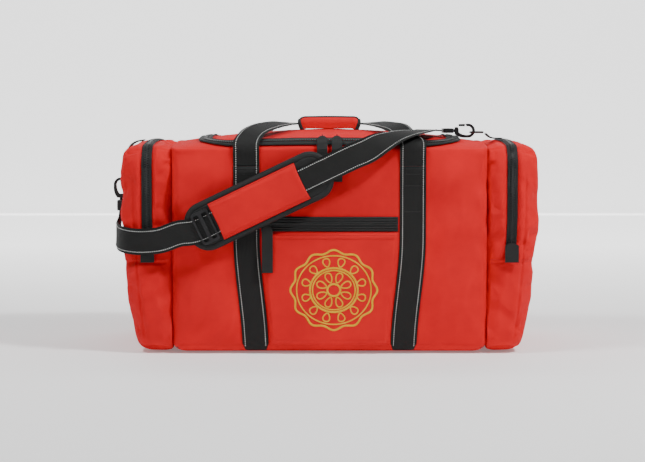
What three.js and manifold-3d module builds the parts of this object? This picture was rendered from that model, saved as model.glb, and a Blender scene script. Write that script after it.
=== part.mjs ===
// Turnout gear duffel bag: a red fabric bag with a hinged top flap, two end pockets, a zipped
// front pocket, two webbing wraps that become the carrying handles, and a padded shoulder strap.
// Millimetres, +X along the bag, +Y to the back, +Z up, origin under the middle of the base.
import * as THREE from 'three';
import { mergeVertices } from 'three/addons/utils/BufferGeometryUtils.js';
import Module from 'manifold-3d';

const wasm = await Module();
wasm.setup();

// ---- driving dimensions ----
const MAIN_HALF = 300;        // half length of the main compartment
const END_HALF = 394;         // half length over the end pockets
const DEPTH_HALF = 190;       // half depth, front to back
const WALL_TOP = 385;         // height where the upright walls turn into the top
const CROWN = 40;             // rise of the top above the walls at the middle
const CROWN_FALL = 0.6;       // share of the crown lost towards the ends
const END_TAPER = 30;         // how much shorter each end is at the floor
const BASE_RADIUS = 22;       // round between the walls and the base
const SHELL = 6;              // padded wall thickness
const GAP = 0.3;              // clearance between neighbouring pieces
const CORNER_STEPS = 5;       // straight pieces in each corner of the body and the flap
const WEB = 50;               // width of the webbing
const WEB_THICK = 2.6;        // thickness of the webbing
const WRAP_HIGH_X = 158;      // centre line of a webbing wrap on the upper half of the front
const WRAP_LOW_X = 141;       // and where it passes under the base
const WRAP_TOP = 355;         // top end of the wraps, where the handles leave
const OPEN_HALF_X = 240;      // half length of the top opening
const OPEN_FRONT = -172;      // front edge of the top opening
const OPEN_BACK = 150;        // back edge of the top opening, where the flap hinges
const OPEN_RADIUS = 60;       // corner radius of the top opening
const TAPE = 13;              // width of one half of a zip tape
const TAPE_THICK = 1.6;       // thickness of a zip tape
const POCKET_ZIP_Z = 245;     // centre line of the front pocket's zip
const END_ZIP_X = 347;        // distance of the end pocket zips from the middle
const END_ZIP_LOW = 177;      // bottom end of the end pocket zips
const PAD_TILT = THREE.MathUtils.degToRad(25.5);
const PAD_CENTRE = new THREE.Vector3(-133, -207, 290);
const PAD_LENGTH = 290;
const PAD_WIDTH = 88;
const PAD_THICK = 12;

const bag = new THREE.Group();

function finish(name, colour, roughness, metalness) {
  return new THREE.MeshStandardMaterial({ name, color: colour, roughness, metalness });
}

const RED = finish('red_fabric', 0xe23a34, 0.85, 0);
const BLACK_WEB = finish('black_webbing', 0x20211f, 0.8, 0);
const ZIP_BLACK = finish('black_zip', 0x262726, 0.6, 0);
const BLACK_METAL = finish('black_metal', 0x0e0e10, 0.4, 0.6);
const BOARD = finish('base_board', 0x2b2b2b, 0.7, 0);

function add(name, geometry, material) {
  const mesh = new THREE.Mesh(geometry, material);
  mesh.name = name;
  bag.add(mesh);
  return mesh;
}

// ---- geometry helpers ----
function faceOut(geometry) {
  const p = geometry.getAttribute('position');
  const ids = geometry.getIndex().array;
  const [a, b, c] = [new THREE.Vector3(), new THREE.Vector3(), new THREE.Vector3()];
  let volume = 0;
  for (let i = 0; i < ids.length; i += 3) {
    a.fromBufferAttribute(p, ids[i]);
    b.fromBufferAttribute(p, ids[i + 1]);
    c.fromBufferAttribute(p, ids[i + 2]);
    volume += a.dot(b.cross(c));
  }
  if (volume < 0) {
    for (let i = 0; i < ids.length; i += 3) {
      const first = ids[i];
      ids[i] = ids[i + 1];
      ids[i + 1] = first;
    }
  }
  return geometry;
}

// Joins rings of equal length into a closed skin. Open ends are closed by a fan of triangles,
// and a looped skin joins its last ring to its first.
function skin(rings, looped = false) {
  const count = rings[0].length;
  const points = rings.flat();
  const faces = [];
  const last = looped ? rings.length : rings.length - 1;
  for (let r = 0; r < last; r += 1) {
    const here = r * count;
    const next = ((r + 1) % rings.length) * count;
    for (let i = 0; i < count; i += 1) {
      const j = (i + 1) % count;
      faces.push(here + i, here + j, next + j, here + i, next + j, next + i);
    }
  }
  if (!looped) {
    for (const [ring, flip] of [[0, true], [rings.length - 1, false]]) {
      const middle = new THREE.Vector3();
      rings[ring].forEach((p) => middle.add(p));
      points.push(middle.divideScalar(count));
      const hub = points.length - 1;
      for (let i = 0; i < count; i += 1) {
        const a = ring * count + i;
        const b = ring * count + ((i + 1) % count);
        faces.push(...(flip ? [hub, b, a] : [hub, a, b]));
      }
    }
  }
  const geometry = new THREE.BufferGeometry();
  const numbers = points.flatMap((p) => [p.x, p.y, p.z]);
  geometry.setAttribute('position', new THREE.Float32BufferAttribute(numbers, 3));
  geometry.setIndex(faces);
  return faceOut(geometry);
}

// A flat band whose underside follows the stations; each gives a point, the way its face looks,
// its width and its thickness.
function band(stations) {
  const rings = stations.map((s, i) => {
    const before = stations[Math.max(i - 1, 0)].at;
    const after = stations[Math.min(i + 1, stations.length - 1)].at;
    const along = after.clone().sub(before).normalize();
    const side = along.clone().cross(s.face).normalize();
    const out = side.clone().cross(along).normalize();
    const half = side.multiplyScalar((s.width ?? WEB) / 2);
    const low = s.lift ?? 0;
    const high = low + (s.thick ?? WEB_THICK);
    return [[-1, low], [1, low], [1, high], [-1, high]].map(
      ([k, h]) => s.at.clone().addScaledVector(half, k).addScaledVector(out, h));
  });
  return skin(rings);
}

function rounded(halfX, halfY, radius, steps) {
  const points = [];
  const corners = [[1, 1, 0], [-1, 1, 1], [-1, -1, 2], [1, -1, 3]];
  for (const [sx, sy, quarter] of corners) {
    for (let i = 0; i <= steps; i += 1) {
      const a = (quarter + i / steps) * Math.PI / 2;
      const x = sx * (halfX - radius) + radius * Math.cos(a);
      const y = sy * (halfY - radius) + radius * Math.sin(a);
      points.push(new THREE.Vector2(x, y));
    }
  }
  return points;
}

function plate(outline, thick, holes = []) {
  const shape = outline instanceof THREE.Shape ? outline : new THREE.Shape(outline);
  shape.holes.push(...holes.map((h) => new THREE.Path(h)));
  return new THREE.ExtrudeGeometry(shape, { depth: thick, bevelEnabled: false, curveSegments: 8 });
}

function solid(geometry) {
  const bare = geometry.clone();
  bare.deleteAttribute('normal');
  bare.deleteAttribute('uv');
  const merged = mergeVertices(bare, 1e-4);
  return new wasm.Manifold(new wasm.Mesh({
    numProp: 3,
    vertProperties: new Float32Array(merged.getAttribute('position').array),
    triVerts: new Uint32Array(merged.getIndex().array),
  }));
}

function fromSolid(body) {
  const mesh = body.getMesh();
  const geometry = new THREE.BufferGeometry();
  geometry.setAttribute('position', new THREE.Float32BufferAttribute(mesh.vertProperties, 3));
  geometry.setIndex(Array.from(mesh.triVerts));
  return geometry;
}

function joined(first, ...others) {
  return fromSolid(others.reduce((sum, g) => sum.add(solid(g)), solid(first)));
}

// A round rod bent along closed or open points.
function rod(points, radius, sides, looped) {
  const rings = points.map((p, i) => {
    const n = points.length;
    const before = looped ? points[(i + n - 1) % n] : points[Math.max(i - 1, 0)];
    const after = looped ? points[(i + 1) % n] : points[Math.min(i + 1, n - 1)];
    const along = after.clone().sub(before).normalize();
    const flat = new THREE.Vector3(0, 0, 1);
    const side = along.clone().cross(flat).normalize();
    return Array.from({ length: sides }, (_, k) => {
      const a = k / sides * 2 * Math.PI;
      const across = side.clone().multiplyScalar(radius * Math.cos(a));
      return p.clone().add(across).addScaledVector(flat, radius * Math.sin(a));
    });
  });
  return skin(rings, looped);
}

// ---- the surface of the bag ----
function topHeight(x, y) {
  const depth = Math.min(Math.abs(y) / DEPTH_HALF, 1);
  const fall = 1 - CROWN_FALL * Math.min((x / MAIN_HALF) ** 2, 1.1);
  return WALL_TOP + CROWN * fall * Math.sqrt(1 - depth * depth);
}

function topNormal(x, y) {
  const step = 0.5;
  const dx = (topHeight(x + step, y) - topHeight(x - step, y)) / (2 * step);
  const dy = (topHeight(x, y + step) - topHeight(x, y - step)) / (2 * step);
  return new THREE.Vector3(-dx, -dy, 1).normalize();
}

function wrapX(z) {
  return THREE.MathUtils.lerp(WRAP_LOW_X, WRAP_HIGH_X, THREE.MathUtils.smoothstep(z, 0, 220));
}

function upright(outline, z) {
  return outline.map((p) => new THREE.Vector3(p.x, p.y, typeof z === 'function' ? z(p.x, p.y) : z));
}

function openingOutline(grow, steps = 6) {
  const halfY = (OPEN_BACK - OPEN_FRONT) / 2;
  const middle = (OPEN_BACK + OPEN_FRONT) / 2;
  return rounded(OPEN_HALF_X + grow, halfY + grow, OPEN_RADIUS + grow, steps)
    .map((p) => new THREE.Vector2(p.x, p.y + middle));
}

// ---- webbing wraps: front, under the base and up the back ----
function wrapStations(side, lift, thick, width) {
  const path = [];
  const flat = 3.0;
  const front = DEPTH_HALF + 0.4;
  const turn = DEPTH_HALF - BASE_RADIUS;
  for (const z of [WRAP_TOP, 290, 220, 170, 120, 75, 26]) {
    path.push([-front, z, -1, 0]);
  }
  for (let i = 1; i <= 4; i += 1) {
    const a = i / 4 * Math.PI / 2;
    const y = -turn - (front - turn) * Math.cos(a);
    path.push([y, 26 - (26 - flat) * Math.sin(a), -Math.cos(a), -Math.sin(a)]);
  }
  const mirror = path.slice().reverse().map(([y, z, ny, nz]) => [-y, z, -ny, nz]);
  return [...path, ...mirror].map(([y, z, ny, nz]) => ({
    at: new THREE.Vector3(side * wrapX(z), y, z),
    face: new THREE.Vector3(0, ny, nz),
    lift,
    thick,
    width,
  }));
}

// ---- main compartment: a thin-walled bag, open at the top under the flap ----
function mainShell() {
  const steps = CORNER_STEPS;
  const outline = (inset, z) => upright(rounded(MAIN_HALF - inset, DEPTH_HALF - inset, 24, steps), z);
  const rings = [];
  for (let i = 0; i <= 4; i += 1) {
    const a = i / 4 * Math.PI / 2;
    rings.push(outline(BASE_RADIUS * (1 - Math.sin(a)), BASE_RADIUS * (1 - Math.cos(a))));
  }
  rings.push(outline(0, 200), outline(0, WALL_TOP - 10));
  const rim = openingOutline(0, steps);
  const wall = rounded(MAIN_HALF, DEPTH_HALF, 24, steps);
  const across = (t, drop) => wall.map((p, i) => {
    const x = THREE.MathUtils.lerp(p.x, rim[i].x, t);
    const y = THREE.MathUtils.lerp(p.y, rim[i].y, t);
    return new THREE.Vector3(x, y, topHeight(x, y) - drop);
  });
  rings.push(across(0.0, 3), across(0.3, 0), across(0.65, 0), across(1, 0));
  rings.push(across(1, SHELL));
  const inner = (inset, z) => upright(rounded(MAIN_HALF - inset, DEPTH_HALF - inset, 20, steps), z);
  rings.push(inner(SHELL + 2, WALL_TOP - 12), inner(SHELL + 2, 200), inner(SHELL + 2, 30));
  rings.push(inner(SHELL + 14, SHELL + 5));
  return skin(rings);
}

function cutChannels(geometry) {
  let body = solid(geometry);
  for (const side of [-1, 1]) {
    body = body.subtract(solid(band(wrapStations(side, -GAP, 12, WEB + 1.4))));
  }
  return fromSolid(body);
}

add('main_body', cutChannels(mainShell()), RED);
add('base_board', plate(rounded(262, 150, 12, 3), 3), BOARD).position.z = SHELL + 5.4;
add('webbing_wrap_left', band(wrapStations(-1, 0, WEB_THICK, WEB)), BLACK_WEB);
add('webbing_wrap_right', band(wrapStations(1, 0, WEB_THICK, WEB)), BLACK_WEB);

// ---- top flap ----
function flap() {
  const steps = CORNER_STEPS;
  const middle = (OPEN_BACK + OPEN_FRONT) / 2;
  const scaled = (k, drop) => openingOutline(-1.2, steps).map((p) => {
    const x = p.x * k;
    const y = middle + (p.y - middle) * k;
    return new THREE.Vector3(x, y, topHeight(x, y) - drop);
  });
  return skin([scaled(0.55, SHELL), scaled(0.85, SHELL), scaled(1, SHELL), scaled(1, 0),
    scaled(0.85, 0), scaled(0.6, 0), scaled(0.3, 0)]);
}

add('top_flap', flap(), RED);

// The zip round the flap: one half of the tape on the bag and the other on the flap.
function flapTape(shift) {
  const outline = openingOutline(shift, 6);
  const front = outline.filter((p) => p.y < OPEN_FRONT + OPEN_RADIUS + 12 + Math.abs(shift));
  const left = front.filter((p) => p.x < 0);
  const right = front.filter((p) => p.x > 0);
  const points = [
    new THREE.Vector2(-OPEN_HALF_X - shift, 80),
    new THREE.Vector2(-OPEN_HALF_X - shift, 20),
    new THREE.Vector2(-OPEN_HALF_X - shift, -50),
    ...left,
    ...[-120, -60, 0, 60, 120].map((x) => new THREE.Vector2(x, OPEN_FRONT - shift)),
    ...right,
    new THREE.Vector2(OPEN_HALF_X + shift, -50),
    new THREE.Vector2(OPEN_HALF_X + shift, 20),
    new THREE.Vector2(OPEN_HALF_X + shift, 80),
  ];
  return band(points.map((p) => ({
    at: new THREE.Vector3(p.x, p.y, topHeight(p.x, p.y)),
    face: topNormal(p.x, p.y),
    lift: 0.9,
    thick: TAPE_THICK,
    width: TAPE,
  })));
}

add('flap_zip_tape_bag', flapTape(TAPE / 2 + 0.8), ZIP_BLACK);
add('flap_zip_tape_flap', flapTape(-TAPE / 2 - 0.8), ZIP_BLACK);

// ---- end pockets ----
const POCKET_STATIONS = [
  // distance along the bag, inset of the section, corner radius
  [MAIN_HALF + 2 * GAP, 4, 34],
  [322, 1, 34],
  [364, 2, 34],
  [382, 8, 36],
  [391, 18, 40],
  [END_HALF, 34, 44],
];

function pocketSection(inset, radius, steps) {
  const top = WALL_TOP + CROWN * 0.42;
  const middle = top / 2;
  const outline = rounded(DEPTH_HALF - inset, middle - inset, radius, steps);
  const crest = [110, 60, 0, -60, -110].map((y) => new THREE.Vector2(y, middle - inset));
  outline.splice(steps + 1, 0, ...crest);
  return outline.map((p) => {
    const slope = p.y > 0 ? 12 * (p.x / DEPTH_HALF) ** 2 : 0;
    return new THREE.Vector2(p.x, middle + p.y - slope);
  });
}

function taper(x, z) {
  const share = (Math.abs(x) - MAIN_HALF) / (END_HALF - MAIN_HALF);
  return x - Math.sign(x) * END_TAPER * Math.max(share, 0) * (1 - Math.min(z / 260, 1)) ** 1.3;
}

function endPocket(side) {
  const rings = POCKET_STATIONS.map(([x, inset, radius]) => pocketSection(inset, radius, 5).map(
    (p) => new THREE.Vector3(taper(side * x, p.y), p.x, p.y)));
  return skin(rings);
}

// The zip over an end pocket: up the front, over the top and down the back.
function endZip(side) {
  const section = pocketSection(1, 34, 5);
  const loop = section.filter((p) => p.y > 300);
  const front = [];
  for (const z of [END_ZIP_LOW, 215, 260, 305]) {
    front.push(new THREE.Vector2(DEPTH_HALF - 1, z));
  }
  const path = [...front, ...loop, ...front.slice().reverse().map((p) => new THREE.Vector2(-p.x, p.y))];
  return band(path.map((p, i) => {
    const a = path[Math.max(i - 1, 0)];
    const b = path[Math.min(i + 1, path.length - 1)];
    return {
      at: new THREE.Vector3(taper(side * END_ZIP_X, p.y), p.x, p.y),
      face: new THREE.Vector3(0, b.y - a.y, a.x - b.x),
      lift: 0.9,
      thick: 2.4,
      width: 20,
    };
  }));
}

for (const [word, side] of [['left', -1], ['right', 1]]) {
  add(`end_pocket_${word}`, endPocket(side), RED);
  add(`end_zip_${word}`, endZip(side), ZIP_BLACK);
}

// ---- front pocket ----
function frontPocket() {
  const low = 14;
  const high = POCKET_ZIP_Z - 15;
  const edge = (z) => wrapX(z) - WEB / 2 - 1.2;
  const ring = (inset, out) => {
    const points = [];
    for (const z of [low + inset, 80, 160, high - inset]) {
      points.push(new THREE.Vector3(edge(z) - inset, -DEPTH_HALF - out, z));
    }
    return [...points, ...points.slice().reverse().map((p) => new THREE.Vector3(-p.x, p.y, p.z))];
  };
  return skin([ring(0, GAP), ring(0, 5), ring(5, 10)]);
}

add('front_pocket', frontPocket(), RED);

// One half of the front pocket's zip: a tape with a row of teeth along its inner edge, which
// stand between the teeth of the other half.
const TOOTH_PITCH = 6;
const TOOTH_REACH = 2.2;
const POCKET_ZIP_HALF = 130;

function toothedTape(up, offset) {
  const half = POCKET_ZIP_HALF;
  const points = [new THREE.Vector2(half, up * 14), new THREE.Vector2(-half, up * 14)];
  const inner = up * 1.3;
  const reach = -up * (TOOTH_REACH - 1.3);
  points.push(new THREE.Vector2(-half, inner));
  for (let x = -half + 3 + offset; x < half - 6; x += TOOTH_PITCH) {
    points.push(new THREE.Vector2(x, inner), new THREE.Vector2(x + 0.3, reach));
    points.push(new THREE.Vector2(x + 2.3, reach), new THREE.Vector2(x + 2.6, inner));
  }
  points.push(new THREE.Vector2(half, inner));
  const geometry = plate(points, 2.2);
  geometry.rotateX(Math.PI / 2);
  return geometry;
}

for (const [word, up, offset] of [['upper', 1, 0], ['lower', -1, TOOTH_PITCH / 2]]) {
  const tape = add(`pocket_zip_${word}`, toothedTape(up, offset), ZIP_BLACK);
  tape.position.set(0, -DEPTH_HALF - GAP - 0.2, POCKET_ZIP_Z);
}

// ---- zip sliders and pulls ----
// A slider in its own frame: the zip runs along X and the bag is below it. Its bail carries the
// eye of the pull, so the bail's bar is the pull's hinge.
const SLIDER_LENGTH = 14;
const BAR_HEIGHT = 7.4;

function sliderGeometry() {
  const half = SLIDER_LENGTH / 2;
  const outline = [[-half, -3.6], [-2, -5], [half, -5], [half, 5], [-2, 5], [-half, 3.6]];
  const base = plate(outline.map(([x, y]) => new THREE.Vector2(x, y)), 2.2);
  const arch = [[-6, 1.5], [-6, BAR_HEIGHT - 0.6], [-4.6, BAR_HEIGHT + 0.9], [4.6, BAR_HEIGHT + 0.9],
    [6, BAR_HEIGHT - 0.6], [6, 1.5], [4.2, 1.5], [4.2, BAR_HEIGHT - 0.9], [-4.2, BAR_HEIGHT - 0.9],
    [-4.2, 1.5]];
  const bail = plate(arch.map(([x, y]) => new THREE.Vector2(x, y)), 1.8);
  bail.rotateX(Math.PI / 2);
  bail.translate(0, 0.9, 0);
  return joined(base, bail);
}

// A pull's eye goes round the bar of a bail, which runs along X here.
function pullEye() {
  const eye = new THREE.TorusGeometry(3.3, 1, 6, 14);
  eye.rotateY(Math.PI / 2);
  return eye;
}

// A flat webbing tab that hangs from its eye along -Y, with its face to +Z.
function flatPull(width, length) {
  const half = width / 2;
  const shape = new THREE.Shape();
  shape.moveTo(-half, -length);
  shape.lineTo(half, -length);
  shape.lineTo(half, -14);
  shape.quadraticCurveTo(half, -5, 3, -3.4);
  shape.lineTo(-3, -3.4);
  shape.quadraticCurveTo(-half, -5, -half, -14);
  shape.closePath();
  const tab = plate(shape, 2);
  tab.translate(0, 0, 0.8);
  return joined(pullEye(), tab);
}

// The same tab where the bar runs along the way it hangs: the eye lies across it.
function endPull(width, length) {
  const eye = pullEye();
  eye.rotateZ(Math.PI / 2);
  const half = width / 2;
  const outline = [[-half, -length], [half, -length], [half, -2], [5, 3], [-5, 3], [-half, -2]];
  const tab = plate(outline.map(([x, y]) => new THREE.Vector2(x, y)), 2);
  tab.translate(0, 0, 3);
  return joined(eye, tab);
}

// A tab bent over the front edge of the bag; the stations are measured from the bar, in the
// upright plane across the bag.
function bentPull(width) {
  const path = [[-3.4, -0.6], [-6.5, -3.2], [-13, -12], [-18, -24], [-19.5, -40], [-19.5, -86]];
  const tab = band(path.map(([y, z], i) => ({
    at: new THREE.Vector3(0, y, z),
    face: new THREE.Vector3(0, -1, 0.9 - 0.18 * i),
    width: i === 0 ? 8 : width,
    thick: 2,
    lift: -1,
  })));
  return joined(pullEye(), tab);
}

// Puts a slider on a zip: `at` is on the zip, `along` its run and `out` away from the bag.
function zipSlider(name, at, along, out) {
  const slider = add(`${name}_slider`, sliderGeometry(), BLACK_METAL);
  place(slider, at, along, out.clone().cross(along));
  return at.clone().addScaledVector(out, BAR_HEIGHT);
}

function place(mesh, at, x, y) {
  const z = x.clone().cross(y);
  mesh.quaternion.setFromRotationMatrix(new THREE.Matrix4().makeBasis(x, y, z));
  mesh.position.copy(at);
}

const RIGHT = new THREE.Vector3(1, 0, 0);
const FORWARD = new THREE.Vector3(0, -1, 0);
const UP = new THREE.Vector3(0, 0, 1);
const DOWN = new THREE.Vector3(0, 0, -1);

const WEST = new THREE.Vector3(-1, 0, 0);
const BACK = new THREE.Vector3(0, 1, 0);
const TAPE_FRONT = -DEPTH_HALF - 3.2;

const pocketBar = zipSlider('pocket_zip', new THREE.Vector3(-118, TAPE_FRONT, POCKET_ZIP_Z), RIGHT, FORWARD);
place(add('pocket_zip_pull', flatPull(21, 92), BLACK_WEB), pocketBar, RIGHT, UP);

for (const [word, x] of [['left', -14], ['right', 14]]) {
  const out = topNormal(0, OPEN_FRONT);
  const at = new THREE.Vector3(x, OPEN_FRONT, topHeight(x, OPEN_FRONT)).addScaledVector(out, 3);
  const bar = zipSlider(`flap_zip_${word}`, at, RIGHT, out);
  add(`flap_zip_${word}_pull`, bentPull(20), BLACK_WEB).position.copy(bar);
}

for (const [word, side] of [['left', -1], ['right', 1]]) {
  const z = END_ZIP_LOW + 30;
  const at = new THREE.Vector3(taper(side * END_ZIP_X, z), TAPE_FRONT, z);
  const bar = zipSlider(`end_zip_${word}`, at, UP, FORWARD);
  place(add(`end_zip_${word}_pull`, endPull(26, 34), BLACK_WEB), bar, RIGHT, UP);
}

// ---- carrying handles and the grip that wraps them ----
function handleStations(front) {
  const half = [
    // x, y, lift above the bag, width of the webbing
    [-154, -171, 6.4, 50],
    [-145, -148, 6.4, 49],
    [-130, -120, 6, 46],
    [-112, -90, 6, 40],
    [-95, -58, 6.4, 32],
    [-82, -32, 8, 25],
    [-68, -15, 9.4, 22],
    [-58, -13, 9.6, 22],
    [-30, -13, 10, 22],
  ];
  const upEdge = [
    // y, height, way it faces
    [-DEPTH_HALF - 0.4, WRAP_TOP + 0.4, -1, 0],
    [-DEPTH_HALF - 1.4, 371, -1, 0],
    [-DEPTH_HALF - 4, 386, -1, 0.15],
    [-DEPTH_HALF + 0.5, 398, -0.8, 0.7],
  ];
  const stations = [
    ...upEdge.map(([y, z, ny, nz]) => ({
      at: new THREE.Vector3(-WRAP_HIGH_X, y, z),
      face: new THREE.Vector3(0, ny, nz),
    })),
    ...half.map(([x, y, lift, width]) => ({
      at: new THREE.Vector3(x, y, topHeight(x, y)).addScaledVector(topNormal(x, y), lift),
      face: topNormal(x, y),
      width,
    })),
  ];
  const other = stations.slice().reverse().map((s) => ({
    ...s,
    at: new THREE.Vector3(-s.at.x, s.at.y, s.at.z),
    face: new THREE.Vector3(-s.face.x, s.face.y, s.face.z),
  }));
  const whole = [...stations, ...other];
  if (front) {
    return whole;
  }
  return whole.map((s) => ({
    ...s,
    at: new THREE.Vector3(s.at.x, -s.at.y, s.at.z),
    face: new THREE.Vector3(s.face.x, -s.face.y, s.face.z),
  }));
}

add('handle_front', band(handleStations(true)), BLACK_WEB);
add('handle_back', band(handleStations(false)), BLACK_WEB);

function gripProfile() {
  const shape = new THREE.Shape();
  shape.moveTo(-31, 0);
  shape.lineTo(-31, 12);
  shape.quadraticCurveTo(-31, 21, -20, 21);
  shape.lineTo(20, 21);
  shape.quadraticCurveTo(31, 21, 31, 12);
  shape.lineTo(31, 0);
  shape.lineTo(26.5, 0);
  shape.lineTo(26.5, 11);
  shape.quadraticCurveTo(26.5, 16.5, 19, 16.5);
  shape.lineTo(-19, 16.5);
  shape.quadraticCurveTo(-26.5, 16.5, -26.5, 11);
  shape.lineTo(-26.5, 0);
  shape.closePath();
  return shape;
}

const grip = plate(gripProfile(), 120);
grip.rotateX(Math.PI / 2);
grip.rotateZ(Math.PI / 2);
add('grip_wrap', grip, RED).position.set(-60, 0, 427);

// ---- shoulder strap, pad and adjuster ----
const STRAP_LIFT = PAD_THICK + 0.5;

function strapStations() {
  const line = (x, extra = 0) => new THREE.Vector3(
    x, PAD_CENTRE.y - STRAP_LIFT - extra, PAD_CENTRE.z + (x - PAD_CENTRE.x) * Math.tan(PAD_TILT));
  const left = [
    // place, then the way the face looks
    [-410, -60, 264.2, -1, 0, 0],
    [-411, -60, 254, -1, 0, 0],
    [-412, -62, 243, -1, -0.05, 0],
    [-413, -75, 231, -1, -0.05, 0],
    [-413, -96, 224, -1, -0.1, 0],
    [-411, -124, 223, -1, -0.3, 0],
    [-405, -155, 218, -0.9, -0.55, 0],
    [-393, -181, 215, -0.75, -0.9, 0],
    [-374, -200, 213, -0.35, -1, 0],
    [-350, -211, 213, -0.1, -1, 0],
    [-318, -217, 217, 0, -1, 0],
    [-284, -219.6, 229, 0, -1, 0],
  ].map(([x, y, z, nx, ny, nz]) => ({ at: new THREE.Vector3(x, y, z), face: new THREE.Vector3(nx, ny, nz) }));
  const middle = [-250, -200, -133, -60, 0, 40].map((x) => ({ at: line(x), face: FORWARD.clone() }));
  const right = [
    [70, -215, 385, 0, -1, 0.15],
    [96, -210, 399, 0, -0.8, 0.6],
    [122, -195, 410, 0, -0.5, 1],
    [148, -172, 416.5, 0, -0.25, 1],
    [170, -145, 419, 0, -0.1, 1],
    [182, -120, 420.5, 0, 0, 1],
    [188, -92, 421, 0, 0, 1],
    [191, -74, 421, 0, 0, 1],
    [200, -62, 420.5, 0, 0, 1],
    [211, -60, 420, 0, 0, 1],
    [220.4, -60, 419.7, 0, 0, 1],
  ].map(([x, y, z, nx, ny, nz]) => ({ at: new THREE.Vector3(x, y, z), face: new THREE.Vector3(nx, ny, nz) }));
  return [...left, ...middle, ...right];
}

add('shoulder_strap', band(strapStations()), BLACK_WEB);

function onPad(geometry, lift, along = 0) {
  geometry.rotateX(Math.PI / 2);
  geometry.rotateY(-PAD_TILT);
  geometry.translate(
    PAD_CENTRE.x + along * Math.cos(PAD_TILT),
    PAD_CENTRE.y - lift,
    PAD_CENTRE.z + along * Math.sin(PAD_TILT));
  return geometry;
}

add('shoulder_pad', onPad(plate(rounded(PAD_LENGTH / 2, PAD_WIDTH / 2, 34, 6), PAD_THICK), 0), RED);
add('pad_cover', onPad(plate(rounded(90, 37, 3, 2), 4), STRAP_LIFT + WEB_THICK + 0.5), RED);
const adjusterHoles = [
  rounded(5, 27, 2, 2).map((p) => new THREE.Vector2(p.x - 8.5, p.y)),
  rounded(5, 27, 2, 2).map((p) => new THREE.Vector2(p.x + 8.5, p.y)),
];
const adjuster = plate(rounded(17, 32, 5, 3), 3, adjusterHoles);
add('strap_adjuster', onPad(adjuster, STRAP_LIFT + WEB_THICK + 0.5, -112), BLACK_METAL);

// ---- rings, tabs and snap hooks at the two ends ----
const RING_Y = -60;

function ringTab(path) {
  return band(path.map(([x, z, nx, nz]) => ({
    at: new THREE.Vector3(x, RING_Y, z),
    face: new THREE.Vector3(nx, 0, nz),
    width: 38,
  })));
}

// Both tabs are sewn to the top of a pocket; the left one hangs over the end and the right one
// is pulled towards the middle by the strap.
add('ring_tab_left', ringTab([
  [-366, 402.6, 0, 1], [-381, 399, -0.4, 1], [-392, 391, -0.8, 0.7], [-397, 379, -1, 0.2],
  [-397.5, 362, -1, 0.03], [-397.5, 347, -1, 0],
]), BLACK_WEB);
add('ring_tab_right', ringTab([[338, 404.6, 0, 1], [318, 406.6, 0, 1], [306, 414, -0.3, 1]]), BLACK_WEB);

// A D ring lying flat in its own frame, its straight bar along Y at the origin and its bow to +X.
function dRing() {
  const points = [];
  for (let i = 0; i <= 10; i += 1) {
    const a = -Math.PI / 2 + i / 10 * Math.PI;
    points.push(new THREE.Vector3(3 + 20 * Math.cos(a), 24 * Math.sin(a), 0));
  }
  points.push(new THREE.Vector3(0, 22, 0), new THREE.Vector3(0, 8, 0), new THREE.Vector3(0, -8, 0));
  points.push(new THREE.Vector3(0, -22, 0));
  return rod(points, 2, 8, true);
}

// A snap hook in its own frame: it lies in the plane of X and Y, its mouth to +Y, with a stem
// whose head sits inside the swivel loop. The gate closes the mouth.
const EYE_Y = 24;
const EYE_RADIUS = 8.6;
const HOOK_RADIUS = 14;
const LOOP_Y = -16;
const STEM_RADIUS = 3;

function hookGeometry() {
  const shape = new THREE.Shape();
  shape.moveTo(-7, -2);
  shape.lineTo(7, -2);
  shape.quadraticCurveTo(HOOK_RADIUS, 6, HOOK_RADIUS, 18);
  shape.absarc(0, EYE_Y, HOOK_RADIUS, -0.1, Math.PI + 0.35, false);
  shape.lineTo(-EYE_RADIUS, 21.5);
  shape.absarc(0, EYE_Y, EYE_RADIUS, Math.PI + 0.3, 0, true);
  shape.quadraticCurveTo(EYE_RADIUS, 12, 3, 6);
  shape.lineTo(-3, 6);
  shape.lineTo(-7, 4);
  shape.closePath();
  const hook = plate(shape, 7);
  hook.translate(0, 0, -3.5);
  const stem = new THREE.CylinderGeometry(STEM_RADIUS, STEM_RADIUS, 9.5, 12);
  stem.translate(0, -6, 0);
  const head = new THREE.CylinderGeometry(STEM_RADIUS + 1.8, STEM_RADIUS + 1.8, 1.6, 12);
  head.translate(0, -11, 0);
  return joined(hook, stem, head);
}

function loopGeometry() {
  const loop = plate(rounded(30, 10, 4, 3), 9, [rounded(26.5, 6.2, 1.5, 2)]);
  loop.translate(0, LOOP_Y, -4.5);
  const bore = new THREE.CylinderGeometry(STEM_RADIUS + 0.5, STEM_RADIUS + 0.5, 12, 12);
  bore.translate(0, LOOP_Y + 10, 0);
  return fromSolid(solid(loop).subtract(solid(bore)));
}

function gateGeometry() {
  const outline = [[-13, 6], [-8.4, 6], [-8.4, 18.2], [-13.4, 18.2]];
  const gate = plate(outline.map(([x, y]) => new THREE.Vector2(x, y)), 5);
  gate.translate(0, 0, -2.5);
  return gate;
}

function hookSet(word, at, across, towards, loopAcross) {
  place(add(`snap_hook_${word}`, hookGeometry(), BLACK_METAL), at, across, towards);
  place(add(`hook_gate_${word}`, gateGeometry(), BLACK_METAL), at, across, towards);
  place(add(`swivel_loop_${word}`, loopGeometry(), BLACK_METAL), at, loopAcross, towards);
}

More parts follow.
